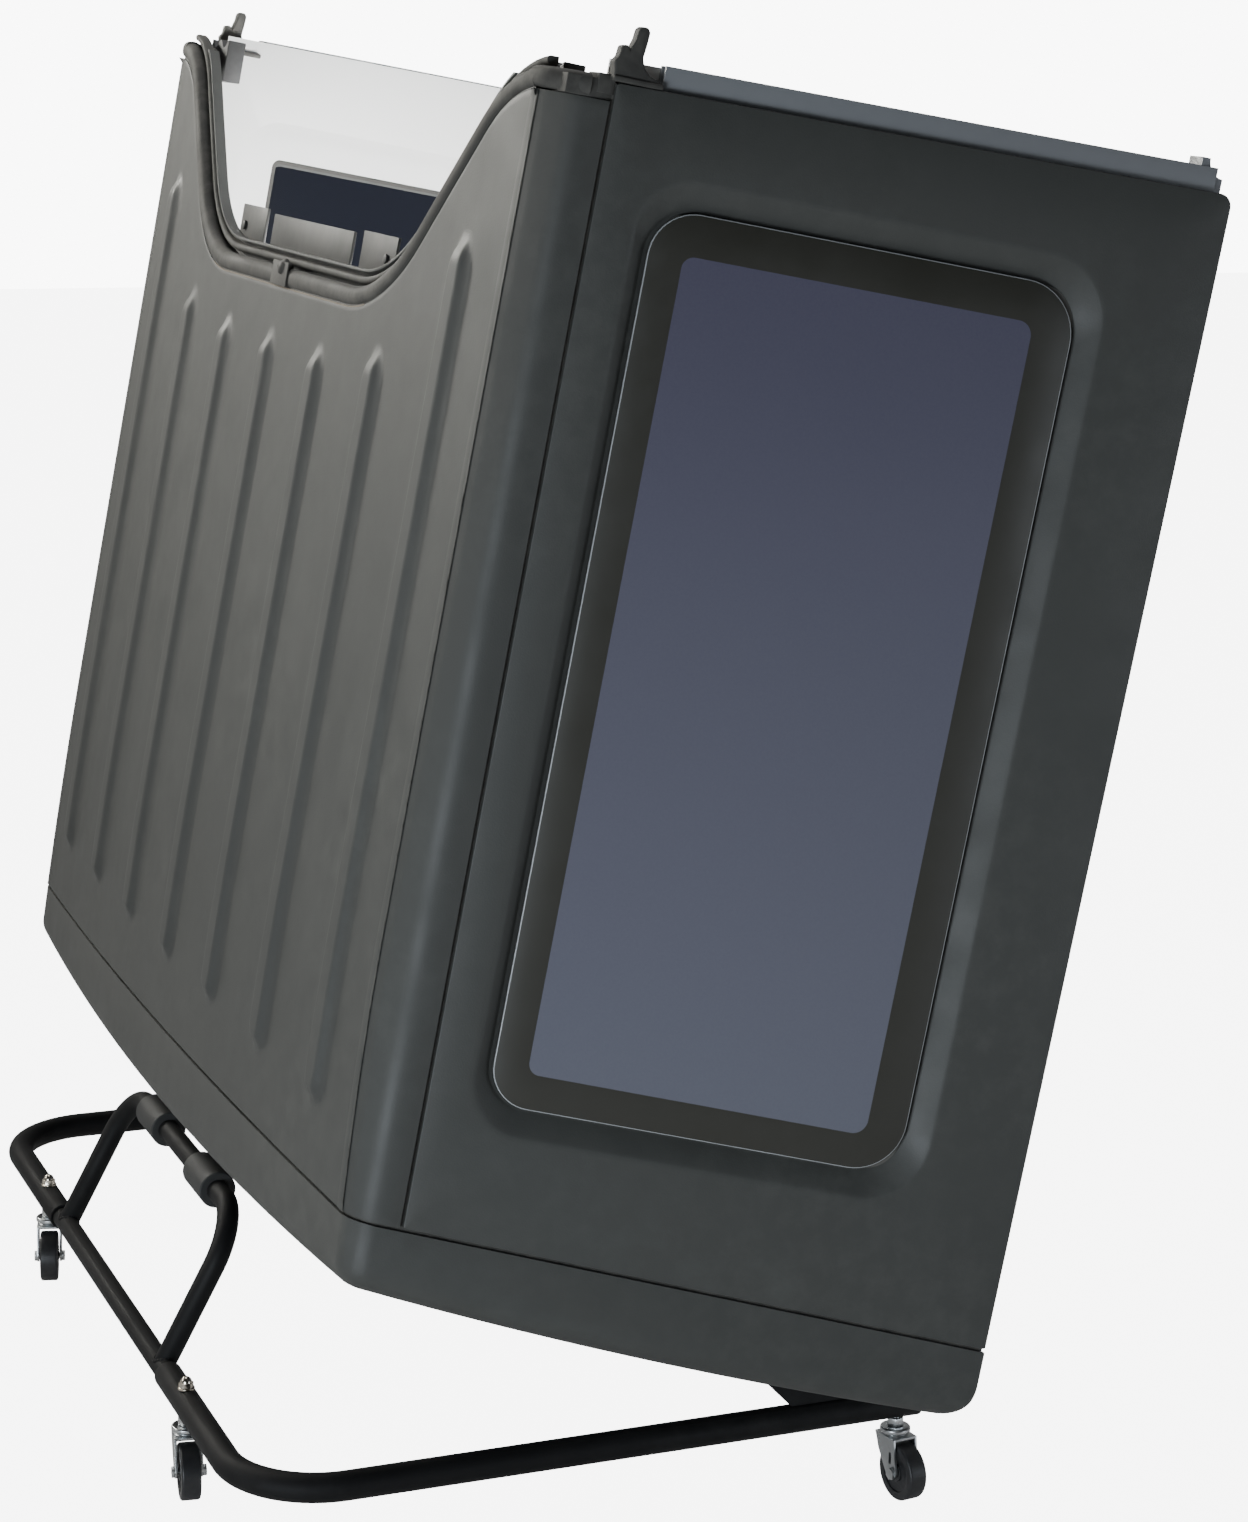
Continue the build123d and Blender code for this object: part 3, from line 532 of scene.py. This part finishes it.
# ---------------------------------------------------------------------------------------
# Side panels: flat mouldings, each with a pocket that slopes down to a ledge for the
# glass. The pocket's rim is softly rounded, and the ledge is turned in behind the pane.
side_down = down * math.cos(tumblehome) + Vector((0, -1, 0)) * math.sin(tumblehome)
side_out = Vector((0, -1, 0)) * math.cos(tumblehome) - down * math.sin(tumblehome)
side_zero = spot(0, -shoulder_v, 0)
along_side = 1 / math.cos(tumblehome)
front_w = 1300.7 * mm
front_rake = 0.0204
smallest_round = 0.4 * mm
touch_distance = 0.005 * mm


def rounded_loop(corners, rounds, shrink, steps=12):
    """Points of a four-cornered outline with round corners, drawn in by shrink."""
    points = []
    for index, corner in enumerate(corners):
        corner = Vector(corner)
        before = (corner - Vector(corners[index - 1])).normalized()
        after = (Vector(corners[(index + 1) % 4]) - corner).normalized()
        normal_in = Vector((-before.y, before.x))
        normal_out = Vector((-after.y, after.x))
        radius = rounds[index]
        widening = 1 + normal_in.dot(normal_out)
        centre = corner + (normal_in + normal_out) * (radius / widening)
        start = math.atan2(-normal_in.y, -normal_in.x)
        end = math.atan2(-normal_out.y, -normal_out.x)
        if end < start:
            end += 2 * math.pi
        reach = max(radius - shrink, smallest_round)
        if radius - shrink < reach:
            centre = centre + (normal_in + normal_out) * ((reach - radius + shrink) / widening)
        for step in range(steps + 1):
            angle = start + (end - start) * step / steps
            points.append(centre + Vector((math.cos(angle), math.sin(angle))) * reach)
    return points


def on_side(point, depth, hand):
    """A point of the right or left side plane, at a depth below it."""
    place = side_zero + side_down * point[0] + front * point[1] - side_out * depth
    return Vector((place.x, place.y * hand, place.z))


def side_loops(corners, rounds, profile, hand):
    """One loop of places on a side panel for each (shrink, depth) pair of a profile."""
    return [[on_side(point, depth, hand) for point in rounded_loop(corners, rounds, shrink)]
            for shrink, depth in profile]


def ring_piece(name, loops, closed=True):
    """A ring skinned over loops of equal length, each a list of places."""
    mesh = bpy.data.meshes.new(name)
    count = len(loops[0])
    faces = []
    pairs = len(loops) if closed else len(loops) - 1
    for ring in range(pairs):
        this, other = ring * count, (ring + 1) % len(loops) * count
        for step in range(count):
            following = (step + 1) % count
            faces.append((this + step, this + following, other + following, other + step))
    mesh.from_pydata([place for loop in loops for place in loop], [], faces)
    piece = bpy.data.objects.new(name, mesh)
    bpy.context.collection.objects.link(piece)
    bpy.ops.object.select_all(action="DESELECT")
    bpy.context.view_layer.objects.active = piece
    piece.select_set(True)
    bpy.ops.object.mode_set(mode="EDIT")
    bpy.ops.mesh.select_all(action="SELECT")
    bpy.ops.mesh.remove_doubles(threshold=touch_distance)
    bpy.ops.mesh.select_all(action="SELECT")
    bpy.ops.mesh.normals_make_consistent(inside=False)
    bpy.ops.object.mode_set(mode="OBJECT")
    bpy.ops.object.shade_smooth_by_angle(angle=math.radians(40))
    return piece


def millimetres(*pairs):
    """Pairs of numbers in millimetres as tuples in metres."""
    return [tuple(number * mm for number in pair) for pair in pairs]


drip_s = (drip_u + half_gap) * along_side
belt_s = belt_u * along_side
panel_corners = [(drip_s, seam_w + seam_rake * drip_u + half_gap),
                 (belt_s, seam_w + seam_rake * belt_u + half_gap),
                 (belt_s, front_w + front_rake * belt_u),
                 (drip_s, front_w + front_rake * drip_u)]
panel_rounds = [2.5 * mm, 2.5 * mm, 13 * mm, 4 * mm]
pocket_corners = millimetres((82, 277), (561, 253), (561, 1219), (82, 1219))
pocket_rounds = [58 * mm, 62 * mm, 62 * mm, 52 * mm]
pane_corners = millimetres((98, 301), (537, 278), (537, 1196), (98, 1196))
pane_rounds = [44 * mm, 52 * mm, 56 * mm, 46 * mm]
panel_edge = millimetres((0, 5), (0, 1.4), (0.5, 0.4), (1.6, 0))
pocket_rim = millimetres((-9, 0), (-5, 0.3), (-2, 1.2), (0.6, 2.8))
pocket_foot = millimetres((-6, 11.2), (-4, 13.2), (-2.4, 14.0), (26, 14.0), (26, 18.5),
                          (-4, 18.5))
pocket_back = millimetres((-6, 5.2))

for side, hand in (("right", 1), ("left", -1)):
    loops = side_loops(panel_corners, panel_rounds, panel_edge, hand)
    loops += side_loops(pocket_corners, pocket_rounds, pocket_rim, hand)
    loops += side_loops(pane_corners, pane_rounds, pocket_foot, hand)
    loops += side_loops(pocket_corners, pocket_rounds, pocket_back, hand)
    panel = ring_piece(f"side_panel_{side}_piece", loops)
    panel.data.materials.append(shell)
    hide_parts(f"side_panel_{side}")
    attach(panel, "hardtop")

# ---------------------------------------------------------------------------------------
# Quarter glass: tempered privacy glass with a ground, polished edge and a black fired
# border that hides the bond, bonded to the ledge of each side panel.
def glass_finish(name, upper, lower, gloss):
    """Deeply tinted glass with painted light, shading from one tone at its top to another at its
    foot.
    """
    material = bpy.data.materials.new(name)
    material.use_nodes = True
    tree = material.node_tree
    shader = tree.nodes["Principled BSDF"]
    shader.inputs["Transmission Weight"].default_value = 0.04
    shader.inputs["IOR"].default_value = 1.52
    shader.inputs["Specular IOR Level"].default_value = gloss
    where = tree.nodes.new("ShaderNodeTexCoord").outputs["Object"]
    split = tree.nodes.new("ShaderNodeSeparateXYZ")
    tree.links.new(where, split.inputs[0])
    # Painted light: the tone changes with height, darker at the top and paler towards the foot.
    height = ranged(tree, split.outputs["Z"], 0.45, 1.55, 1.0, 0.0)
    speck = ranged(tree, noise(tree, 420, 2), 0.3, 0.7, -0.05, 0.05)
    tint = mixed(tree, summed(tree, height, speck), (*upper, 1), (*lower, 1))
    tree.links.new(tint, shader.inputs["Base Color"])
    smear = ranged(tree, noise(tree, 5, 4), 0.35, 0.75, 0.10, 0.18)
    tree.links.new(smear, shader.inputs["Roughness"])
    return material


# Painted light: each pane's upper tone is darker and its lower tone paler.
tinted_with_painted_light = glass_finish("tinted_glass", (0.105, 0.098, 0.150), (0.165, 0.172, 0.215), 0.35)
tinted_inner = glass_finish("tinted_glass_inner", (0.0015, 0.002, 0.0055), (0.002, 0.003, 0.007),
                            0.08)
frit = finish("fired_border", (0.040, 0.039, 0.032), (0.055, 0.054, 0.048), 0.40, 0.3, 0.0,
              grain_scale=400, bump=0.015)
ground_edge = finish("ground_edge", (0.42, 0.44, 0.45), (0.3, 0.31, 0.31), 0.3, 0.3, 0.0,
                     grain_scale=900, bump=0.1)
pane_slots = (frit, tinted_with_painted_light, ground_edge, tinted_inner)
clear_corners = millimetres((133.3, 336), (494.7, 317), (494.7, 1155), (133.3, 1155))
clear_rounds = [13 * mm, 15 * mm, 15 * mm, 12 * mm]
pane_edge = millimetres((0, 7.1), (0.45, 6.4), (1.1, 6.1))
pane_back = millimetres((0, 11))
pane_face = millimetres((0, 6.1))


def filled(piece, places, material):
    """Fills one loop of places in a piece with a flat face of one of its materials."""
    bpy.ops.object.select_all(action="DESELECT")
    bpy.context.view_layer.objects.active = piece
    piece.select_set(True)
    bpy.ops.object.mode_set(mode="EDIT")
    bpy.ops.mesh.select_all(action="DESELECT")
    mesh = bmesh.from_edit_mesh(piece.data)
    wanted = {tuple(round(c, 5) for c in place) for place in places}
    for vertex in mesh.verts:
        if tuple(round(c, 5) for c in vertex.co) in wanted:
            vertex.select = True
    mesh.select_flush(True)
    bmesh.update_edit_mesh(piece.data)
    bpy.ops.mesh.edge_face_add()
    mesh = bmesh.from_edit_mesh(piece.data)
    for face in mesh.faces:
        if face.select and len(face.verts) > 8:
            face.material_index = pane_slots.index(material)
    bmesh.update_edit_mesh(piece.data)
    bpy.ops.mesh.select_all(action="SELECT")
    bpy.ops.mesh.normals_make_consistent(inside=False)
    bpy.ops.object.mode_set(mode="OBJECT")


for side, hand in (("right", 1), ("left", -1)):
    back = side_loops(pane_corners, pane_rounds, pane_back, hand)
    edge = side_loops(pane_corners, pane_rounds, pane_edge, hand)
    clear = side_loops(clear_corners, clear_rounds, pane_face, hand)
    pane = ring_piece(f"quarter_glass_{side}_piece", back + edge + clear, closed=False)
    for material in pane_slots:
        pane.data.materials.append(material)
    count = len(back[0])
    for index, polygon in enumerate(pane.data.polygons):
        on_edge = count <= index < 3 * count
        polygon.material_index = pane_slots.index(ground_edge if on_edge else frit)
    filled(pane, back[0], tinted_inner)
    filled(pane, clear[0], tinted_with_painted_light)
    bpy.ops.object.shade_smooth_by_angle(angle=math.radians(25))
    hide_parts(f"quarter_glass_{side}")
    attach(pane, "hardtop")

# ---------------------------------------------------------------------------------------
# Bulb seal round the roof opening: extruded black rubber, pushed into the channel and dulled by
# dust. A thin warm pale lip beside it is a painted highlight on the opening's rounded edge, and
# inside the seal runs a second, slimmer bead.
seal_step = 9 * mm
seal_reach = 652 * mm
lip_reach = 300 * mm


def along_notch(reach):
    """Frames (place, across, out) along the roof opening, from right to left."""
    spots = []
    count = int(2 * reach / seal_step)
    for index in range(count + 1):
        v = -reach + 2 * reach * index / count
        w = notch_edge(v)
        spots.append((spot(roof_u(v, w), v, w), v))
    frames = []
    for index, (place, v) in enumerate(spots):
        before = spots[max(index - 1, 0)][0]
        after = spots[min(index + 1, count)][0]
        run = (after - before).normalized()
        out = (-down + Vector((0, v / crown_radius, 0))).normalized()
        out = (out - run * out.dot(run)).normalized()
        across = run.cross(out)
        if across.dot(front) < 0:
            across = -across
        frames.append((place, across, out))
    return frames


def moulding(name, frames, profile, material, closed=False, body="hardtop"):
    """A strip of constant section along frames; the profile is (across, out) pairs."""
    count = len(profile)
    places = [place + across * a + out * o for place, across, out in frames for a, o in profile]
    faces = []
    spans = len(frames) if closed else len(frames) - 1
    for span in range(spans):
        this, other = span * count, (span + 1) % len(frames) * count
        for step in range(count):
            following = (step + 1) % count
            faces.append((this + step, this + following, other + following, other + step))
    if not closed:
        faces.append(tuple(range(count)))
        faces.append(tuple(range(len(places) - count, len(places))))
    mesh = bpy.data.meshes.new(name)
    mesh.from_pydata(places, [], faces)
    piece = bpy.data.objects.new(name, mesh)
    bpy.context.collection.objects.link(piece)
    bpy.ops.object.select_all(action="DESELECT")
    bpy.context.view_layer.objects.active = piece
    piece.select_set(True)
    bpy.ops.object.mode_set(mode="EDIT")
    bpy.ops.mesh.select_all(action="SELECT")
    bpy.ops.mesh.normals_make_consistent(inside=False)
    bpy.ops.object.mode_set(mode="OBJECT")
    bpy.ops.object.shade_smooth_by_angle(angle=math.radians(42))
    mesh.materials.append(material)
    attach(piece, body)
    return piece


bulb = millimetres((1.6, -22), (1.6, -4), (2.2, -1.2), (3.6, 0.6), (6, 2.0), (9.5, 2.8),
                   (13.5, 2.9), (17, 2.2), (20, 0.4), (22, -2.6), (22.8, -6.5), (22.4, -11),
                   (20.6, -14.5), (19, -16), (19, -22))
bulb_seal = moulding("opening_seal_piece", along_notch(seal_reach), bulb, seal_rubber)
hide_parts("opening_seal")
# Painted highlight: a thin warm pale strip along the rounded edge of the roof opening.
painted_highlight_lip = finish("painted_highlight_lip", (0.20, 0.165, 0.125), (0.34, 0.28, 0.21), 0.5, 0.9, 0.4)
lip_section = millimetres((-0.5, -1.5), (-0.5, 0.25), (0.9, 0.35), (0.9, -1.5))
moulding("opening_lip", along_notch(lip_reach), lip_section, painted_highlight_lip)
slim = millimetres((26, -22), (26, -14), (27, -11.2), (29, -10), (31.5, -9.6), (33.5, -10.6),
                   (34.6, -13), (34.8, -22))
slim_bead = moulding("opening_inner_bead_piece", along_notch(seal_reach), slim, seal_rubber)
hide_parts("opening_inner_bead")

# ---------------------------------------------------------------------------------------
# Seal corners: moulded rubber at both ends of the bulb seal. The bulb runs on over the fold and
# ends open beside a square plug, its mouth filled by a near-black disc of painted shade, and a horn
# stands on a flange at the door edge.
def extruded(name, places, reach, round_off, material, node):
    """A flat outline of places drawn out along a vector, with broken edges."""
    bpy.ops.object.select_all(action="DESELECT")
    bpy.ops.mesh.primitive_circle_add(vertices=len(places), fill_type="NGON")
    piece = bpy.context.object
    piece.name = name
    for vertex, place in zip(piece.data.vertices, places):
        vertex.co = place
    bpy.ops.object.mode_set(mode="EDIT")
    bpy.ops.mesh.select_all(action="SELECT")
    bpy.ops.mesh.extrude_region_move(TRANSFORM_OT_translate={"value": reach})
    bpy.ops.mesh.select_all(action="SELECT")
    bpy.ops.mesh.normals_make_consistent(inside=False)
    bpy.ops.object.mode_set(mode="OBJECT")
    rounding = piece.modifiers.new("rounding", "BEVEL")
    rounding.width = round_off * mm
    rounding.segments = 3
    rounding.angle_limit = math.radians(28)
    bpy.ops.object.modifier_apply(modifier="rounding")
    bpy.ops.object.shade_smooth_by_angle(angle=math.radians(40))
    piece.data.materials.append(material)
    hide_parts(node)
    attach(piece, "hardtop")


horn_outline = ((31, 1303), (31, 1312), (29, 1321), (33, 1326), (34, 1336), (40, 1338),
                (43, 1333), (47, 1345), (48, 1354), (51, 1357), (57, 1357), (60, 1353),
                (59, 1340), (57.5, 1328), (61, 1319), (68, 1313), (82, 1309), (82, 1303))
plug_outline = ((19, 1289), (37, 1289), (37, 1308), (19, 1308))
core_outline = ((-12, 1283.5), (36, 1283.5), (36, 1302), (-12, 1302))
flange_outline = ((30, 1302.5), (82, 1302.5), (82, 1308), (30, 1308))
corner_blocks = (("plug", plug_outline, 701, 30, 1.6), ("horn", horn_outline, 708, 14, 1.8),
                 ("core", core_outline, 700, 36, 0.8), ("flange", flange_outline, 711, 38, 1.6))
bulb_end_v = 640 * mm
hollow_steps = 20
painted_shade_black = finish("painted_shade_black", (0.006, 0.006, 0.006), (0.02, 0.02, 0.02), 0.7, 0.3, 0.0)
for side, hand in (("right", -1), ("left", 1)):
    node = "seal_corner_" + side
    over = [(spot(roof_u(bulb_end_v, ledge_w), hand * bulb_end_v, ledge_w), front, -down)]
    for index in range(len(roof_columns), len(roof_columns) + 2 * fold_steps):
        u, v, out_u, out_v = roof_point(index, ledge_w)
        outward = down * out_u + Vector((0, hand * out_v, 0))
        over.append((spot(u, hand * v, ledge_w), front, outward))
    bulb_end = moulding(f"{node}_bulb", over, bulb, seal_rubber)
    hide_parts(node)
    last, across, out = over[-1]
    run = (last - over[-2][0]).normalized()
    # Painted shade: a thin near-black disc stands in the bulb's open end for the dark inside of the
    # hollow.
    mouth = last + front * 12 * mm - out * 7 * mm
    shade_disc = []
    for step in range(hollow_steps):
        turn = math.tau * step / hollow_steps
        shade_disc.append(mouth + (across * math.cos(turn) * 8 + out * math.sin(turn) * 7) * mm)
    extruded(f"{node}_hollow", shade_disc, run * 0.4 * mm, 0.05, painted_shade_black, node)
    for block, outline, outer_v, width, round_off in corner_blocks:
        places = [spot(u * mm, hand * outer_v * mm, w * mm) for u, w in outline]
        inwards = (0, -hand * width * mm, 0)
        extruded(f"{node}_{block}", places, inwards, round_off, seal_rubber, node)

# ---------------------------------------------------------------------------------------
# Header latch brackets: moulded black blocks with a wavy upper edge, screwed to the
# header behind the seal.
bracket_u = 5 * mm
bracket_depth = 23 * mm
bracket_inner_v = 560 * mm
bracket_outer_v = 640 * mm
bracket_foot_w = 1262 * mm
wave_w = 1309 * mm
wave_height = 5 * mm
wave_steps = 24
for side, hand in (("right", -1), ("left", 1)):
    outline = [spot(bracket_u, hand * bracket_inner_v, bracket_foot_w),
               spot(bracket_u, hand * bracket_outer_v, bracket_foot_w)]
    for step in range(wave_steps + 1):
        v = bracket_outer_v - (bracket_outer_v - bracket_inner_v) * step / wave_steps
        w = wave_w + wave_height * math.cos(2 * math.tau * step / wave_steps)
        outline.append(spot(bracket_u, hand * v, w))
    extruded(f"header_bracket_{side}", outline, down * bracket_depth, 1.2, black_plastic,
             "header_brackets")

# ---------------------------------------------------------------------------------------
# Joint of the bulb seal: a vulcanised sleeve with the folded rubber peak that is left
# where its ends meet.
bpy.ops.object.select_all(action="DESELECT")
bpy.ops.mesh.primitive_ico_sphere_add(subdivisions=3, radius=1.0)
knob = bpy.context.object
knob.name = "seal_joint_knob"
knob_u, knob_v, knob_w = -43 * mm, -10 * mm, 1057.5 * mm
knob_rise, knob_half_width, knob_half_length = 7.5 * mm, 15 * mm, 9 * mm
for vertex in knob.data.vertices:
    u, v, w = vertex.co
    fold = 1 + 0.22 * math.sin(5 * v + 2 * w) * math.cos(4 * u)
    vertex.co = spot(knob_u - knob_rise * u * fold, knob_v + knob_half_width * v * fold,
                     knob_w + knob_half_length * w * fold)
bpy.ops.object.shade_smooth_by_angle(angle=math.radians(60))
knob.data.materials.append(seal_rubber)
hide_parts("seal_joint")
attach(knob, "hardtop")

# ---------------------------------------------------------------------------------------
# Inner wall's step: the white wall rises softly by a few millimetres towards each
# quarter window, all round its opening.
liner_step = millimetres((-8, 29.02), (-2, 29.4), (4, 30.4), (10, 31.4), (18, 31.9),
                         (40.8, 31.9), (40.8, 29.02))
for side, hand in (("right", 1), ("left", -1)):
    loops = side_loops(pocket_corners, pocket_rounds, liner_step, hand)
    step_ring = ring_piece(f"side_liner_step_{side}", loops)
    step_ring.data.materials.append(white_wall)
    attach(step_ring, "hardtop")

# ---------------------------------------------------------------------------------------
# Small parts of the shell: rear frame, linings, rails, hinges, strikers, bonds and seals.
# Their edges are broken as the moulding or the pressing leaves them.
for node, round_off in (
        ("rear_frame", 1.2), ("opening_channel", 0.6), ("striker_plates", 0.8),
        ("striker_screws", 0.6), ("belt_rail_right", 0.8), ("belt_rail_left", 0.8),
        ("belt_seals", 1.5), ("rear_hinge_bases", 0.8), ("rear_hinge_arms", 0.8),
        ("seam_backing", 0.0), ("seal_joint", 0.8), ("roof_liner", 0.8),
        ("side_liner_right", 0.8), ("side_liner_left", 0.8), ("window_beads", 1.0),
        ("quarter_glass_bonds", 0.0), ("rear_glass_seal", 0.8)):
    worked_copy(node, round_off)

# ---------------------------------------------------------------------------------------
# Door seals: the pale grey carrier of the weatherstrip, clipped along the front edge of
# each side panel.
for side in ("right", "left"):
    worked_copy("door_seal_" + side, 1.0, material=carrier)

# ---------------------------------------------------------------------------------------
# Rear glass: one curved privacy pane, hung from two hinge arms. A mask drawn in the
# hardtop's axes turns its border into the black fired band that hides the arms' pads.
clear_top_u = 104 * mm
clear_foot_u = 604 * mm
clear_half_v = 465.5 * mm
clear_flare = 0.1007
border_blend = 0.5 * mm
# The copy keeps the quarter glass's painted light, darker at the top and paler towards the foot.
rear_tint = tinted_with_painted_light.copy()
rear_tint.name = "rear_glass_tint"
rear_tree = rear_tint.node_tree
rear_shader = rear_tree.nodes["Principled BSDF"]
rear_clear = rear_shader.inputs["Base Color"].links[0].from_socket
rear_local = rear_tree.nodes.new("ShaderNodeMapping")
rear_local.vector_type = "TEXTURE"
rear_local.inputs["Location"].default_value = hardtop_zero
rear_local.inputs["Rotation"].default_value = (0, math.atan2(-down.z, down.x), 0)
rear_where = rear_tree.nodes.new("ShaderNodeTexCoord").outputs["Object"]
rear_tree.links.new(rear_where, rear_local.inputs["Vector"])
rear_split = rear_tree.nodes.new("ShaderNodeSeparateXYZ")
rear_tree.links.new(rear_local.outputs["Vector"], rear_split.inputs[0])
rear_u = rear_split.outputs["X"]
rear_v = summed(rear_tree, rear_split.outputs["Y"], 0.0, "ABSOLUTE")
rear_widening = summed(rear_tree, rear_u, clear_flare, "MULTIPLY")
rear_half_here = summed(rear_tree, rear_widening, clear_half_v, "ADD")
rear_from_side = summed(rear_tree, rear_half_here, rear_v, "SUBTRACT")
rear_from_top = summed(rear_tree, rear_u, clear_top_u, "SUBTRACT")
rear_from_foot = summed(rear_tree, clear_foot_u, rear_u, "SUBTRACT")
rear_inside = summed(rear_tree, rear_from_side, rear_from_top, "MINIMUM")
rear_inside = summed(rear_tree, rear_inside, rear_from_foot, "MINIMUM")
rear_mask = ranged(rear_tree, rear_inside, -border_blend, border_blend, 0.0, 1.0)
rear_tone = mixed(rear_tree, rear_mask, (0.016, 0.0165, 0.014, 1), rear_clear)
rear_tree.links.new(rear_tone, rear_shader.inputs["Base Color"])
worked_copy("rear_glass", 1.0, material=rear_tint)

# ---------------------------------------------------------------------------------------
# Cart: powder-coated steel tubes, bent and welded, with pressed casters bolted up
# through them.
for node, round_off in (
        ("centre_tube", 0.5), ("arm_tube_right", 0.5), ("arm_tube_left", 0.5), ("hoop", 0.3),
        ("end_caps", 0.0), ("bracket_right", 0.8), ("bracket_left", 0.8),
        ("bracket_pads", 1.5), ("caster_stems", 0.4), ("swivel_races", 0.4),
        ("cap_nuts", 0.5), ("roller_right", 0.0), ("roller_left", 0.0)):
    worked_copy(node, round_off)
for caster in ("front_right", "front_left", "end_right", "end_left"):
    for node, round_off in (("fork_", 0.7), ("axle_", 0.4), ("wheel_", 0.8)):
        worked_copy(node + caster, round_off)
for caster in ("end_right", "end_left"):
    worked_copy("brake_lever_" + caster, 0.5)

# ---------------------------------------------------------------------------------------
# Weld beads: the rippled fillet where each leg of the hoop is coped onto the cross tube,
# painted over with the tubes.
tube_radius = 12.7 * mm
bead_radius = 1.7 * mm
saddle_rise = 2.2 * mm
hoop_leg_v = 240 * mm
hoop_lean = math.radians(28)
bead_steps = 96
bead_ripples = 24
bead_sides = 7
hoop_up = Vector((math.sin(hoop_lean), 0, math.cos(hoop_lean)))
hoop_aside = Vector((math.cos(hoop_lean), 0, -math.sin(hoop_lean)))
cross_low, cross_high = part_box("centre_tube")
cross_centre = (Vector(cross_low) + Vector(cross_high)) / 2
bead_section = [(bead_radius * math.cos(math.tau * k / bead_sides),
                 bead_radius * math.sin(math.tau * k / bead_sides)) for k in range(bead_sides)]
for side, hand in (("right", -1), ("left", 1)):
    foot = Vector((cross_centre.x, hand * hoop_leg_v, cross_centre.z))
    seam = []
    for step in range(bead_steps):
        turn = math.tau * step / bead_steps
        aside = tube_radius * math.cos(turn)
        along = Vector((0, tube_radius * math.sin(turn), 0))
        rise = math.sqrt(max(tube_radius**2 - aside**2, saddle_rise**2))
        seam.append(foot + hoop_aside * aside + along + hoop_up * rise)
    beads = []
    for step, place in enumerate(seam):
        run = (seam[(step + 1) % bead_steps] - seam[step - 1]).normalized()
        out = place - foot - hoop_up * (place - foot).dot(hoop_up)
        out = (out - run * out.dot(run)).normalized()
        swell = 1 + 0.16 * math.sin(step * math.tau / bead_steps * bead_ripples)
        beads.append((place, run.cross(out) * swell, out * swell))
    moulding(f"hoop_weld_{side}", beads, bead_section, black_steel,
             closed=True, body="cart")
